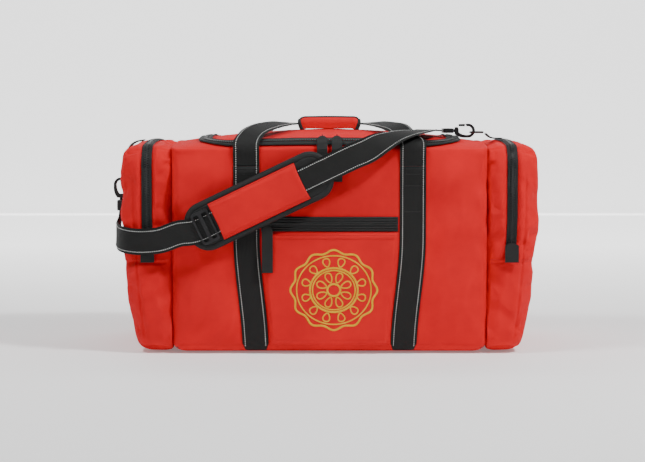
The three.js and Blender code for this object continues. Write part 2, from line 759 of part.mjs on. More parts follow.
const ringHang = new THREE.Vector3(-0.4, 0, -0.92).normalize();
place(add('d_ring_left', dRing(), BLACK_METAL), new THREE.Vector3(-401, RING_Y, 342), ringHang, BACK);
place(add('d_ring_right', dRing(), BLACK_METAL), new THREE.Vector3(300, RING_Y, 418), WEST, BACK);
hookSet('left', new THREE.Vector3(-411, RING_Y, 291), WEST, UP, BACK);
hookSet('right', new THREE.Vector3(248.5, RING_Y, 421), DOWN, RIGHT, BACK);

export default bag;
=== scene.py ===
"""Turnout gear duffel bag: the fabric, webbing, zips and stitching that go on its fixed frame.

Laid out as an add-on: sizes and colours in property groups, one operator for each group of
pieces, and a panel that lists them. Metres, +X along the bag, +Y to the back, +Z up.
"""

from math import cos, hypot, pi, radians, sin, sqrt, tan

import bmesh
import bpy
import numpy as np
from bpy.props import FloatProperty, FloatVectorProperty, PointerProperty
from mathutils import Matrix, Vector, noise


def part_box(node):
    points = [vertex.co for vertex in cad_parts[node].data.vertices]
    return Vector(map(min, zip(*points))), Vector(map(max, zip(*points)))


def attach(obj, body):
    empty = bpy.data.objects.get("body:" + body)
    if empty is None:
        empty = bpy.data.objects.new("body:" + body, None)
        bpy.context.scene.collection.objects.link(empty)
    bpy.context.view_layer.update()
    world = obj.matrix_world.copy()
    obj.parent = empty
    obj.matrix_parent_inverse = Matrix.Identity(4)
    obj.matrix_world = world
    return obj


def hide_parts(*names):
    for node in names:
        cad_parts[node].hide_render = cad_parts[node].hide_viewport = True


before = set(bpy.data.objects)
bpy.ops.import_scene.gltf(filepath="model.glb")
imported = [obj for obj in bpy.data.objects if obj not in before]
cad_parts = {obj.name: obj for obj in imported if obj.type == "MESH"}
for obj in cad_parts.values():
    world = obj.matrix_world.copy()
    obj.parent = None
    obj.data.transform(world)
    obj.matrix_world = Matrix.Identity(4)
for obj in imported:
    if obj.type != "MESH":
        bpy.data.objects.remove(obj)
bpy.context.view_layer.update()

bl_info = {
    "name": "Turnout gear duffel bag",
    "version": (1, 0, 0),
    "blender": (4, 5, 0),
    "location": "3D View > Sidebar > Gear Bag",
    "description": "Builds the fabric, webbing, zips and stitching of a turnout gear duffel bag",
    "category": "Add Mesh",
}

# ---- sizes read from the frame ----
MAIN_HALF, DEPTH_HALF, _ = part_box("main_body")[1]
END_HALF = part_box("end_pocket_right")[1][0]
WRAP_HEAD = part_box("webbing_wrap_right")[1][2]
ZIP_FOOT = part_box("end_zip_right")[0][2]
POCKET_FOOT, POCKET_HEAD = (corner[2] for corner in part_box("front_pocket"))
GRIP_LOW, GRIP_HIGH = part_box("grip_wrap")

# ---- sizes that the bag was drawn to ----
WALL_TOP = 0.385
CROWN = 0.040
CROWN_FALL = 0.6
BASE_RADIUS = 0.022
CORNER = 0.012
SHELL = 0.006
OPEN_HALF_X = 0.240
OPEN_FRONT = -0.172
OPEN_BACK = 0.150
OPEN_RADIUS = 0.060
END_TAPER = 0.030
WRAP_HIGH_X = 0.158
WRAP_LOW_X = 0.141
WEB_THICK = 0.0026
PAD_TILT = radians(25.5)
PAD_CENTRE = Vector((-0.133, -0.207, 0.290))
PAD_LIFT = 0.0125
POCKET_ZIP_Z = 0.245
END_ZIP_X = 0.347
SEAM_Z = 0.172
SEAM_REACH = 0.0045
EDGE_SEAM_X = 0.372
POCKET_TOP = WALL_TOP + CROWN * 0.42
POCKET_FALL = 0.012
POCKET_RADIUS = 0.034
DRAWN_IN = 0.0008
FRONT_GAP = 0.0262
RING_Y = -0.060
BADGE_X = 0.008
BADGE_Z = 0.120
FORWARD = Vector((0, -1, 0))


class BagSizes(bpy.types.PropertyGroup):
    """Sizes a maker would change."""

    web_width: FloatProperty(
        name="Webbing width", description="Width of all the heavy webbing",
        default=0.050, min=0.02, max=0.08, unit="LENGTH")
    stitch_pitch: FloatProperty(
        name="Stitch pitch", description="Distance between the contrast stitches",
        default=0.0042, min=0.002, max=0.01, unit="LENGTH")
    stitch_inset: FloatProperty(
        name="Stitch inset", description="Distance of the contrast stitching from the webbing's edge",
        default=0.0055, min=0.002, max=0.02, unit="LENGTH")
    tooth_pitch: FloatProperty(
        name="Tooth pitch", description="Distance between the teeth on one side of a coarse zip",
        default=0.0046, min=0.002, max=0.01, unit="LENGTH")
    bulge: FloatProperty(
        name="Bulge", description="How far the loaded fabric stands proud between its webbing",
        default=0.008, min=0.0, max=0.015, unit="LENGTH")
    crease: FloatProperty(
        name="Crease depth", description="Depth of the fabric's folds",
        default=0.0078, min=0.0, max=0.012, unit="LENGTH")
    puff: FloatProperty(
        name="Puff", description="Most that a padded piece may swell while it is inflated",
        default=0.006, min=0.0, max=0.02, unit="LENGTH")


class BagColours(bpy.types.PropertyGroup):
    """Colours a maker would change."""

    fabric: FloatVectorProperty(
        name="Fabric", description="Main coated canvas", subtype="COLOR", size=3,
        default=(0.66, 0.003, 0.007), min=0.0, max=1.0)
    webbing: FloatVectorProperty(
        name="Webbing", description="Straps, handles and tabs", subtype="COLOR", size=3,
        default=(0.0045, 0.0048, 0.0046), min=0.0, max=1.0)
    thread: FloatVectorProperty(
        name="Contrast thread", description="Reflective stitching along the webbing", subtype="COLOR", size=3,
        default=(0.74, 0.76, 0.74), min=0.0, max=1.0)
    badge: FloatVectorProperty(
        name="Badge thread", description="Embroidery on the front pocket", subtype="COLOR", size=3,
        default=(1.0, 0.57, 0.01), min=0.0, max=1.0)
    hardware: FloatVectorProperty(
        name="Hardware", description="Coated hooks, rings and sliders", subtype="COLOR", size=3,
        default=(0.012, 0.012, 0.013), min=0.0, max=1.0)


# ---- shader maths ----
class Wire:
    """A socket in a material's tree that takes part in sums."""

    def __init__(self, finish, socket):
        self.finish = finish
        self.socket = socket

    def _with(self, operation, *others):
        values = {i: v for i, v in enumerate((self, *others))}
        return self.finish.node("ShaderNodeMath", {"operation": operation}, values)

    def __add__(self, other):
        return self._with("ADD", other)

    __radd__ = __add__

    def __sub__(self, other):
        return self._with("SUBTRACT", other)

    def __rsub__(self, other):
        return self.finish.node("ShaderNodeMath", {"operation": "SUBTRACT"}, {0: other, 1: self})

    def __mul__(self, other):
        return self._with("MULTIPLY", other)

    __rmul__ = __mul__

    def __pow__(self, other):
        return self._with("POWER", other)

    def wave(self, pitch):
        """A sine from -1 to 1 that repeats every pitch metres."""
        return (self * (2 * pi / pitch))._with("SINE")


class Finish:
    """A material under construction."""

    def __init__(self, name):
        self.material = bpy.data.materials.new(name)
        self.material.use_nodes = True
        self.tree = self.material.node_tree
        self.shader = self.tree.nodes["Principled BSDF"]

    def node(self, kind, settings=None, values=None, output=0):
        """Adds a node, sets it up, fills its inputs and returns one of its outputs."""
        made = self.tree.nodes.new(kind)
        for key, value in (settings or {}).items():
            if key == "stops":
                ramp = made.color_ramp.elements
                for i, (place, colour) in enumerate(value):
                    stop = ramp[i] if i < 2 else ramp.new(place)
                    stop.position = place
                    stop.color = colour
            else:
                setattr(made, key, value)
        for key, value in (values or {}).items():
            if isinstance(value, Wire):
                self.tree.links.new(value.socket, made.inputs[key])
            else:
                made.inputs[key].default_value = value
        return Wire(self, made.outputs[output])

    def feed(self, **inputs):
        """Fills the shader's own sockets; an underscore stands for a space."""
        for key, value in inputs.items():
            name = key.replace("_", " ")
            if isinstance(value, Wire):
                self.tree.links.new(value.socket, self.shader.inputs[name])
            else:
                self.shader.inputs[name].default_value = value
        return self

    def place(self):
        """The object coordinates."""
        return self.node("ShaderNodeTexCoord", output="Object")

    def axes(self, vector):
        """Each part of a vector alone."""
        return [self.node("ShaderNodeSeparateXYZ", None, {0: vector}, axis) for axis in "XYZ"]

    def weave(self, where, pitch):
        """Threads that run along the surface, whichever way it faces."""
        normal = self.node("ShaderNodeTexCoord", output="Normal")
        total = 0.0
        for facing, along in zip(self.axes(normal), self.axes(where)):
            total = total + along.wave(pitch) * (1.0 - facing * facing)
        return total

    def noise(self, where, scale, detail=3.0, rough=0.55):
        """Even noise from 0 to 1."""
        values = {"Vector": where, "Scale": scale, "Detail": detail, "Roughness": rough}
        return self.node("ShaderNodeTexNoise", None, values, "Fac")

    def tint(self, amount, dark, light):
        """A colour between two, by amount."""
        values = {"Factor": amount, 6: (*dark, 1), 7: (*light, 1)}
        return self.node("ShaderNodeMix", {"data_type": "RGBA"}, values, 2)

    def bump(self, height, distance, strength=1.0):
        """The surface's normal, tilted by a height."""
        values = {"Strength": strength, "Distance": distance, "Height": height}
        return self.node("ShaderNodeBump", None, values, "Normal")


def shade(colour, k):
    """A colour made k times as light."""
    return tuple(min(max(c * k, 0.0), 1.0) for c in colour)


def fabric_finish(name, colour, thread=0.0011, coat=0.0):
    """Plain-woven coated canvas: threads, slubs, and broad changes of tone."""
    f = Finish(name)
    where = f.place()
    weave = f.weave(where, thread)
    slub = f.noise(where, 900.0, 2.0)
    broad = f.noise(where, 9.0, 4.0)
    patch = f.noise(where, 46.0, 3.0)
    tone = broad * 0.62 + patch * 0.22 + slub * 0.16 + weave * 0.05
    f.feed(
        Base_Color=f.tint(tone, shade(colour, 0.66), shade(colour, 1.22)),
        Roughness=0.66 + broad * 0.16 + slub * 0.12,
        Normal=f.bump(weave * 0.35 + slub * 0.9, 0.00035, 0.55),
        Specular_IOR_Level=0.24,
        Coat_Weight=coat,
    )
    return f.material


def webbing_finish(name, colour):
    """Ribbed webbing: ribs run along it and the weft crosses them, both on its own map."""
    f = Finish(name)
    flat = f.node("ShaderNodeUVMap", {"uv_map": "along"})
    across, along, _ = f.axes(flat)
    where = f.place()
    ribs = across.wave(0.0026)
    weft = along.wave(0.0017) * ribs
    fluff = f.noise(where, 700.0, 3.0)
    worn = f.noise(where, 17.0, 4.0)
    tone = ribs * 0.16 + weft * 0.16 + fluff * 0.45 + worn * 0.4
    f.feed(
        Base_Color=f.tint(tone, shade(colour, 0.5), shade(colour, 1.8)),
        Roughness=0.52 + fluff * 0.2 + worn * 0.16,
        Normal=f.bump(ribs * 0.6 + weft * 0.5 + fluff * 0.5, 0.0004, 0.7),
        Specular_IOR_Level=0.3,
    )
    return f.material


def tape_finish(name, colour):
    """Narrow woven tape for zips and bound edges."""
    f = Finish(name)
    where = f.place()
    weave = f.weave(where, 0.0014)
    fluff = f.noise(where, 600.0, 3.0)
    worn = f.noise(where, 24.0, 3.0)
    tone = fluff * 0.5 + worn * 0.5 + weave * 0.08
    f.feed(
        Base_Color=f.tint(tone, shade(colour, 0.6), shade(colour, 2.2)),
        Roughness=0.52 + fluff * 0.2,
        Normal=f.bump(weave * 0.4 + fluff * 0.6, 0.0003, 0.6),
        Specular_IOR_Level=0.3,
    )
    return f.material


def hard_finish(name, colour, metal, rough):
    """Coated metal or moulded plastic: fine grain and a little wear."""
    f = Finish(name)
    where = f.place()
    grain = f.noise(where, 1400.0, 2.0)
    worn = f.noise(where, 85.0, 5.0, 0.7)
    f.feed(
        Base_Color=f.tint(worn ** 3.0, colour, shade(colour, 4.5)),
        Roughness=rough + worn * 0.18,
        Normal=f.bump(grain * 0.4 + worn * 0.6, 0.0002, 0.4),
        Metallic=metal,
        Specular_IOR_Level=0.5,
    )
    return f.material


def thread_finish(name, colour, glow=0.0):
    """Twisted thread; the reflective kind catches the light."""
    f = Finish(name)
    where = f.place()
    x, y, z = f.axes(where)
    twist = (x + y + z).wave(0.0009)
    dirt = f.noise(where, 60.0, 3.0)
    f.feed(
        Base_Color=f.tint(dirt * 0.8 + twist * 0.15, shade(colour, 0.62), shade(colour, 1.1)),
        Roughness=0.38 + dirt * 0.3,
        Normal=f.bump(twist, 0.0002, 0.5),
        Specular_IOR_Level=0.25,
        Sheen_Weight=glow,
    )
    return f.material


def board_finish(name):
    """Pebbled stiffener board."""
    f = Finish(name)
    where = f.place()
    pebble = f.node("ShaderNodeTexVoronoi", None, {"Vector": where, "Scale": 420.0}, "Distance")
    grey = f.noise(where, 30.0)
    f.feed(
        Base_Color=f.tint(grey, (0.012, 0.012, 0.013), (0.035, 0.035, 0.036)),
        Roughness=0.55 + grey * 0.2,
        Normal=f.bump(pebble, 0.0004, 0.5),
    )
    return f.material


def stage_finish(name):
    """Matt pale paper with a painted glow that makes it brighter towards the back: its emission is dim near
    the bag and full further back.
    """
    f = Finish(name)
    where = f.place()
    grain = f.noise(where, 40.0)
    _, depth, _ = f.axes(where)
    span = {"Value": depth, "From Min": 0.3, "From Max": 2.4, "To Min": 0.0, "To Max": 1.0}
    back = f.node("ShaderNodeMapRange", None, span)
    f.feed(
        Base_Color=f.tint(grain, (0.88, 0.88, 0.88), (0.92, 0.92, 0.92)),
        Roughness=0.9,
        # painted glow: emission that whitens the paper, dim near the bag and full towards the back
        Emission_Color=f.tint(back, (0.12, 0.12, 0.12), (1.0, 1.0, 1.0)),
        Emission_Strength=1.6,
    )
    return f.material


FINISHES = {}


def make_finishes():
    """Mixes every finish once, from the colours in the scene."""
    c = bpy.context.scene.bag_colours
    FINISHES.update({
        "fabric": fabric_finish("red_canvas", tuple(c.fabric)),
        "lining": fabric_finish("grey_lining", (0.05, 0.052, 0.055), 0.0016, 0.1),
        "webbing": webbing_finish("ribbed_webbing", tuple(c.webbing)),
        "mesh": tape_finish("pad_mesh", (0.006, 0.0063, 0.0062)),
        "tape": tape_finish("zip_tape", (0.0055, 0.0058, 0.0058)),
        "binding": tape_finish("edge_binding", (0.0065, 0.0068, 0.0068)),
        "teeth": hard_finish("moulded_teeth", (0.012, 0.0125, 0.0125), 0.0, 0.32),
        "hardware": hard_finish("coated_hardware", tuple(c.hardware), 0.35, 0.3),
        "thread": thread_finish("reflective_thread", tuple(c.thread), 0.25),
        "dark_thread": thread_finish("black_thread", (0.02, 0.02, 0.02)),
        "red_thread": thread_finish("red_thread", shade(tuple(c.fabric), 0.8)),
        "badge": thread_finish("badge_thread", tuple(c.badge), 0.1),
        "board": board_finish("stiffener_board"),
    })


# ---- mesh helpers ----
def shown(name, data):
    """Puts a mesh, a lamp or a camera in the scene."""
    piece = bpy.data.objects.new(name, data)
    bpy.context.scene.collection.objects.link(piece)
    return piece


def new_piece(name, points, faces, finish):
    """A smooth piece of one finish."""
    mesh = bpy.data.meshes.new(name)
    mesh.from_pydata([tuple(p) for p in points], [], faces)
    mesh.materials.append(FINISHES[finish])
    mesh.polygons.foreach_set("use_smooth", [True] * len(mesh.polygons))
    mesh.update()
    return shown(name, mesh)


def settle(piece, body, slot, *replaced):
    """Says which body a piece moves with and the frame's nodes it stands for, which it hides; slot, the
    finish slot, is not used.
    """
    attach(piece, body)
    if replaced:
        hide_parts(*replaced)
    return piece


def refinish(piece, finish):
    """Gives a part of the frame its finish."""
    piece.data.materials.clear()
    piece.data.materials.append(FINISHES[finish])


def turn_out(piece):
    """Makes every face of a closed piece look outwards."""
    work = bmesh.new()
    work.from_mesh(piece.data)
    bmesh.ops.remove_doubles(work, verts=work.verts, dist=1e-6)
    bmesh.ops.recalc_face_normals(work, faces=work.faces)
    work.to_mesh(piece.data)
    work.free()
    return piece


def ring_faces(rings, count, looped=False):
    """Quads between neighbouring rings of points."""
    faces = []
    for r in range(rings if looped else rings - 1):
        here = r * count
        there = ((r + 1) % rings) * count
        for i in range(count):
            j = (i + 1) % count
            faces.append((here + i, here + j, there + j, there + i))
    return faces


def lofted(name, rings, finish):
    """A closed skin through rings of equal length, with a fan on each end."""
    count = len(rings[0])
    points = [p for ring in rings for p in ring]
    faces = ring_faces(len(rings), count)
    for r in (0, len(rings) - 1):
        hub = len(points)
        points.append(sum((Vector(p) for p in rings[r]), Vector()) / count)
        faces += [(r * count + i, r * count + (i + 1) % count, hub) for i in range(count)]
    return turn_out(new_piece(name, points, faces, finish))


def thin_panel(name, points, across, up, finish):
    """A thin closed panel from two layers of points, each of up + 1 rows of across + 1."""
    width = across + 1
    layer = width * (up + 1)
    faces = []
    for j in range(up):
        for i in range(across):
            a = j * width + i
            quad = (a, a + 1, a + 1 + width, a + width)
            faces += [quad, tuple(v + layer for v in reversed(quad))]
    for i in range(across):
        top = up * width + i
        faces.append((i + 1, i, i + layer, i + 1 + layer))
        faces.append((top, top + 1, top + 1 + layer, top + layer))
    for j in range(up):
        a = j * width
        b = a + across
        faces.append((a, a + width, a + width + layer, a + layer))
        faces.append((b + width, b, b + layer, b + width + layer))
    return turn_out(new_piece(name, points, faces, finish))


def rounded(half_x, half_y, radius, count):
    """Points spread evenly round a rectangle with round corners, from the middle of +X."""
    straight_x = 2 * (half_x - radius)
    straight_y = 2 * (half_y - radius)
    arc = radius * pi / 2
    total = 2 * (straight_x + straight_y) + 4 * arc
    sides = [(straight_y, 0), (straight_x, 1), (straight_y, 2), (straight_x, 3)]
    points = []
    for i in range(count):
        s = (i / count * total + straight_y / 2) % total
        for length, side in sides:
            turn = side * pi / 2
            out = Vector((cos(turn), sin(turn)))
            go = Vector((-sin(turn), cos(turn)))
            reach = half_x if side % 2 == 0 else half_y
            if s < length:
                points.append(out * reach + go * (s - length / 2))
                break
            s -= length
            if s < arc:
                a = turn + s / radius
                hub = out * (reach - radius) + go * length / 2
                points.append(hub + radius * Vector((cos(a), sin(a))))
                break
            s -= arc
        else:
            points.append(Vector((half_x, -straight_y / 2)))
    return points


def smooth_path(keys, step):
    """Walks a Catmull-Rom curve through rows of numbers and returns rows about a step apart."""
    keys = [np.array(k, float) for k in keys]
    rows = []
    for i in range(len(keys) - 1):
        a = keys[max(i - 1, 0)]
        b, c = keys[i], keys[i + 1]
        d = keys[min(i + 2, len(keys) - 1)]
        parts = max(2, int(np.linalg.norm((c - b)[:3]) / step + 0.5))
        for k in range(parts):
            t = k / parts
            rows.append(0.5 * (2 * b + (c - a) * t + (2 * a - 5 * b + 4 * c - d) * t * t
                               + (3 * b - a - 3 * c + d) * t ** 3))
    rows.append(keys[-1])
    return rows


def frames_along(rows):
    """(point, along, side, out, rest of the row) for rows of x, y, z, face x, y, z, ..."""
    made = []
    for i, row in enumerate(rows):
        before = Vector(rows[max(i - 1, 0)][:3])
        after = Vector(rows[min(i + 1, len(rows) - 1)][:3])
        along = (after - before).normalized()
        side = along.cross(Vector(row[3:6])).normalized()
        made.append((Vector(row[:3]), along, side, side.cross(along), row[6:]))
    return made


def ribbon(name, rows, finish="webbing", thick=WEB_THICK, columns=10):
    """Webbing through rows of x, y, z, face x, y, z, width; its underside is on the path."""
    frames = frames_along(rows)
    places = [k / columns * 2 - 1 for k in range(columns + 1)]
    section = [(t, thick * (1 - 0.75 * max(abs(t) - 0.94, 0) / 0.06)) for t in places]
    section += [(t, thick * 0.35 * max(abs(t) - 0.94, 0) / 0.06) for t in reversed(places)]
    count = len(section)
    points = []
    flat = []
    run = 0.0
    for i, (at, _, side, out, (width,)) in enumerate(frames):
        if i:
            run += (at - frames[i - 1][0]).length
        for t, height in section:
            points.append(at + side * (t * width / 2) + out * height)
            flat.append((t * width / 2, run))
    faces = ring_faces(len(frames), count)
    faces.append(tuple(range(count)))
    faces.append(tuple(range(len(points) - 1, len(points) - 1 - count, -1)))
    piece = new_piece(name, points, faces, finish)
    layer = piece.data.uv_layers.new(name="along")
    for loop in piece.data.loops:
        layer.data[loop.index].uv = flat[loop.vertex_index]
    return turn_out(piece)


def tube(name, points, outs, wide, high, finish, looped=True, sides=8):
    """A bound edge or cord of oval section along points."""
    count = len(points)
    rings = []
    for i, p in enumerate(points):
        before = points[(i - 1) % count] if looped else points[max(i - 1, 0)]
        after = points[(i + 1) % count] if looped else points[min(i + 1, count - 1)]
        along = (Vector(after) - Vector(before)).normalized()
        side = along.cross(Vector(outs[i])).normalized()
        out = side.cross(along)
        rings.append([Vector(p) + side * (wide * cos(a)) + out * (high * sin(a))
                      for a in (2 * pi * k / sides for k in range(sides))])
    flat = [p for ring in rings for p in ring]
    faces = ring_faces(count, sides, looped)
    if not looped:
        faces.append(tuple(range(sides)))
        faces.append(tuple(range(len(flat) - 1, len(flat) - 1 - sides, -1)))
    return turn_out(new_piece(name, flat, faces, finish))


def joined(name, pieces):
    """Makes one piece of several, keeping their finishes."""
    work = bmesh.new()
    finishes = []
    for piece in pieces:
        here = piece.data.materials[0]
        if here not in finishes:
            finishes.append(here)
        first = len(work.faces)
        work.from_mesh(piece.data)
        work.faces.ensure_lookup_table()
        for face in work.faces[first:]:
            face.material_index = finishes.index(here)
        bpy.data.objects.remove(piece)
    mesh = bpy.data.meshes.new(name)
    work.to_mesh(mesh)
    work.free()
    for finish in finishes:
        mesh.materials.append(finish)
    return shown(name, mesh)


# ---- rows of stitches and teeth, by Geometry Nodes ----
ROW_SIZES = {
    "Pitch": 0.004,
    "Length": 0.003,
    "Width": 0.001,
    "Height": 0.001,
    "Lift": 0.0,
    "Zigzag": 0.0,
}


def row_tree(name, shape):
    """A tree that sets copies of a stitch or a tooth along every edge line of a mesh."""
    tree = bpy.data.node_groups.new(name, "GeometryNodeTree")
    sockets = tree.interface
    sockets.new_socket("Geometry", in_out="INPUT", socket_type="NodeSocketGeometry")
    sockets.new_socket("Geometry", in_out="OUTPUT", socket_type="NodeSocketGeometry")
    for label, value in ROW_SIZES.items():
        made = sockets.new_socket(label, in_out="INPUT", socket_type="NodeSocketFloat")
        made.default_value = value
    sockets.new_socket("Finish", in_out="INPUT", socket_type="NodeSocketMaterial")

    def step(kind, values=None, **settings):
        """Adds a node, sets it up, fills its inputs and returns its outputs."""
        node = tree.nodes.new(kind)
        for key, value in settings.items():
            setattr(node, key, value)
        for key, value in (values or {}).items():
            if isinstance(value, bpy.types.NodeSocket):
                tree.links.new(value, node.inputs[key])
            else:
                node.inputs[key].default_value = value
        return node.outputs

    given = step("NodeGroupInput")
    curve = step("GeometryNodeMeshToCurve", {0: given["Geometry"]})[0]
    spread = step("GeometryNodeResampleCurve", {"Curve": curve, "Length": given["Pitch"]}, mode="LENGTH")[0]
    out = step("GeometryNodeInputNamedAttribute", {"Name": "out"}, data_type="FLOAT_VECTOR")["Attribute"]
    tangent = step("GeometryNodeInputTangent")[0]
    # every second copy sways to the other side
    side = step("ShaderNodeVectorMath", {0: tangent, 1: out}, operation="CROSS_PRODUCT")[0]
    index = step("GeometryNodeInputIndex")[0]
    odd = step("ShaderNodeMath", {0: index, 1: 2.0}, operation="MODULO")[0]
    sign = step("ShaderNodeMath", {0: odd, 1: 2.0, 2: -1.0}, operation="MULTIPLY_ADD")[0]
    sway = step("ShaderNodeMath", {0: sign, 1: given["Zigzag"]}, operation="MULTIPLY")[0]
    shift = step("ShaderNodeVectorMath", {0: side, "Scale": sway}, operation="SCALE")[0]
    lift = step("ShaderNodeVectorMath", {0: out, "Scale": given["Lift"]}, operation="SCALE")[0]
    move = step("ShaderNodeVectorMath", {0: shift, 1: lift}, operation="ADD")[0]
    places = step("GeometryNodeSetPosition", {"Geometry": spread, "Offset": move})[0]
    if shape == "stitch":
        unit = step("GeometryNodeMeshUVSphere", {"Segments": 6, "Rings": 4, "Radius": 0.5})["Mesh"]
    else:
        unit = step("GeometryNodeMeshCube")["Mesh"]
    turn = step("FunctionNodeAlignRotationToVector", {"Vector": tangent}, axis="X")[0]
    roll = step("FunctionNodeAlignRotationToVector", {"Rotation": turn, "Vector": out},
                axis="Z", pivot_axis="X")[0]
    size = step("ShaderNodeCombineXYZ", {"X": given["Length"], "Y": given["Width"], "Z": given["Height"]})[0]
    copies = step("GeometryNodeInstanceOnPoints",
                  {"Points": places, "Instance": unit, "Rotation": roll, "Scale": size})[0]
    real = step("GeometryNodeRealizeInstances", {0: copies})[0]
    painted = step("GeometryNodeSetMaterial", {"Geometry": real, "Material": given["Finish"]})[0]
    step("NodeGroupOutput", {0: painted})
    return tree


TREES = {}


def row(name, lines, shape, finish, **sizes):
    """Stitches or teeth along lines, each a list of (point, out); returns one plain mesh."""
    if shape not in TREES:
        TREES[shape] = row_tree(f"row_of_{shape}", shape)
    points = []
    edges = []
    outs = []
    for line in lines:
        start = len(points)
        points += [tuple(p) for p, _ in line]
        outs += [tuple(o) for _, o in line]
        edges += [(i, i + 1) for i in range(start, start + len(line) - 1)]
    mesh = bpy.data.meshes.new(name)
    mesh.from_pydata(points, edges, [])
    mesh.attributes.new("out", "FLOAT_VECTOR", "POINT").data.foreach_set("vector", np.ravel(outs))
    guide = shown(name + "_guide", mesh)
    modifier = guide.modifiers.new("row", "NODES")
    modifier.node_group = TREES[shape]
    for item in TREES[shape].interface.items_tree:
        if item.in_out == "INPUT" and item.name in sizes:
            modifier[item.identifier] = float(sizes[item.name])
        if item.in_out == "INPUT" and item.name == "Finish":
            modifier[item.identifier] = FINISHES[finish]
    ready = bpy.context.evaluated_depsgraph_get()
    plain = bpy.data.meshes.new_from_object(guide.evaluated_get(ready))
    plain.name = name
    plain.polygons.foreach_set("use_smooth", [shape == "stitch"] * len(plain.polygons))
    plain.polygons.foreach_set("material_index", [0] * len(plain.polygons))
    plain.materials.clear()
    plain.materials.append(FINISHES[finish])
    bpy.data.objects.remove(guide)
    return shown(name, plain)


def stitch_row(name, lines, finish="thread", pitch=None):
    """Running stitches along lines."""
    pitch = pitch or bpy.context.scene.bag_sizes.stitch_pitch
    return row(name, lines, "stitch", finish, Pitch=pitch, Length=pitch * 0.66, Width=0.0017,
               Height=0.0010, Lift=0.0001)


def beside(rows, offset, lift=WEB_THICK):
    """A line that runs along a ribbon, offset from its middle; offset may depend on the width."""
    line = []
    for at, _, side, out, (width,) in frames_along(rows):
        across = offset(width) if callable(offset) else offset
        line.append((at + side * across + out * lift, out))
    return line


def edge_lines(rows):
    """The two stitching lines of a ribbon, one along each edge."""
    inset = bpy.context.scene.bag_sizes.stitch_inset
    return [beside(rows, lambda w, k=k: k * (w / 2 - inset)) for k in (-1, 1)]


def copied(node, name, finish, bevel):
    """A piece shaped as one of the frame's parts, with its edges worn round."""
    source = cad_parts[node]
    mesh = source.data.copy()
    mesh.transform(source.matrix_world)
    mesh.materials.clear()
    mesh.materials.append(FINISHES[finish])
    piece = turn_out(shown(name, mesh))
    worn = piece.modifiers.new("worn", "BEVEL")
    worn.width = bevel
    worn.segments = 2
    worn.limit_method = "ANGLE"
    return plain_from(piece)


# ---- padded pieces, by Cloth ----
def inflate(piece, voxel, cap, pressure):
    """Swells a closed piece by simulation, no point further than cap, then smooths it once."""
    bpy.context.view_layer.objects.active = piece
    remesh = piece.modifiers.new("remesh", "REMESH")
    remesh.mode = "VOXEL"
    remesh.voxel_size = voxel
    plain_from(piece)
    rest = read_points(piece.data)
    moved = rest
    cloth = piece.modifiers.new("cloth", "CLOTH")
    cloth.settings.quality = 5
    cloth.settings.use_pressure = True
    cloth.settings.uniform_pressure_force = pressure
    cloth.settings.effector_weights.gravity = 0.0
    cloth.settings.shrink_min = -0.04
    cloth.point_cache.frame_start = 1
    cloth.point_cache.frame_end = 20
    for step in range(1, 21):
        bpy.context.scene.frame_set(step)
    ready = piece.evaluated_get(bpy.context.evaluated_depsgraph_get())
    moved = read_points(ready.data)
    piece.modifiers.remove(cloth)
    bpy.context.scene.frame_set(1)
    step = moved - rest
    far = np.maximum(np.linalg.norm(step, axis=1, keepdims=True), 1e-9)
    write_points(piece.data, rest + step * np.minimum(far, cap) / far)
    finer = piece.modifiers.new("finer", "SUBSURF")
    finer.levels = 1
    finer.render_levels = 1
    plain_from(piece)
    piece.data.polygons.foreach_set("use_smooth", [True] * len(piece.data.polygons))
    return piece


def read_points(mesh):
    """A mesh's points, one in each row."""
    flat = np.empty(len(mesh.vertices) * 3)
    mesh.vertices.foreach_get("co", flat)
    return flat.reshape(-1, 3)


def write_points(mesh, points):
    """Puts a mesh's points in new places."""
    mesh.vertices.foreach_set("co", np.ravel(points))
    mesh.update()


def reshape(piece, move):
    """Moves every point of a piece; move takes and returns x, y, z."""
    write_points(piece.data, [move(*p) for p in read_points(piece.data)])
    return piece


def plain_from(piece):
    """Applies a piece's modifiers."""
    ready = piece.evaluated_get(bpy.context.evaluated_depsgraph_get())
    mesh = bpy.data.meshes.new_from_object(ready)
    mesh.name = piece.name
    piece.modifiers.clear()
    piece.data = mesh
    return piece


# ---- the bag's own surface ----
def smoothstep(x, low, high):
    """0 below low, 1 above high, and a smooth rise between them."""
    t = min(max((x - low) / (high - low), 0.0), 1.0)
    return t * t * (3 - 2 * t)


def top_height(x, y):
    """Height of the bag's crowned top."""
    depth = min(abs(y) / DEPTH_HALF, 1.0)
    fall = 1 - CROWN_FALL * min((x / MAIN_HALF) ** 2, 1.1)
    return WALL_TOP + CROWN * fall * sqrt(1 - depth * depth)


def top_normal(x, y):
    """The way the bag's top faces."""
    step = 0.0005
    dx = (top_height(x + step, y) - top_height(x - step, y)) / (2 * step)
    dy = (top_height(x, y + step) - top_height(x, y - step)) / (2 * step)
    return Vector((-dx, -dy, 1)).normalized()


def wrap_x(z):
    """Distance of a webbing wrap from the bag's middle, which grows with height."""
    return WRAP_LOW_X + (WRAP_HIGH_X - WRAP_LOW_X) * smoothstep(z, 0.0, 0.22)


def opening(grow, count):
    """Points round the main opening, made larger by grow."""
    half_y = (OPEN_BACK - OPEN_FRONT) / 2
    middle = Vector((0, (OPEN_BACK + OPEN_FRONT) / 2))
    return [p + middle for p in rounded(OPEN_HALF_X + grow, half_y + grow, OPEN_RADIUS + grow, count)]


def crumple(x, y, z, seed, stretch=(1.0, 1.0, 1.0)):
    """Folds between -1 and 1: soft waves with a few sharper creases."""
    p = Vector((x * stretch[0], y * stretch[1], z * stretch[2]))
    soft = noise.noise(p * 7.0 + Vector((seed, 0, 0)))
    fold = 1 - 2 * abs(noise.noise(p * 13.0 + Vector((0, seed, 3.1))))
    fine = noise.noise(p * 34.0 + Vector((2.7, 1.3, seed)))
    return 0.55 * soft + 0.35 * (fold ** 3) + 0.16 * fine


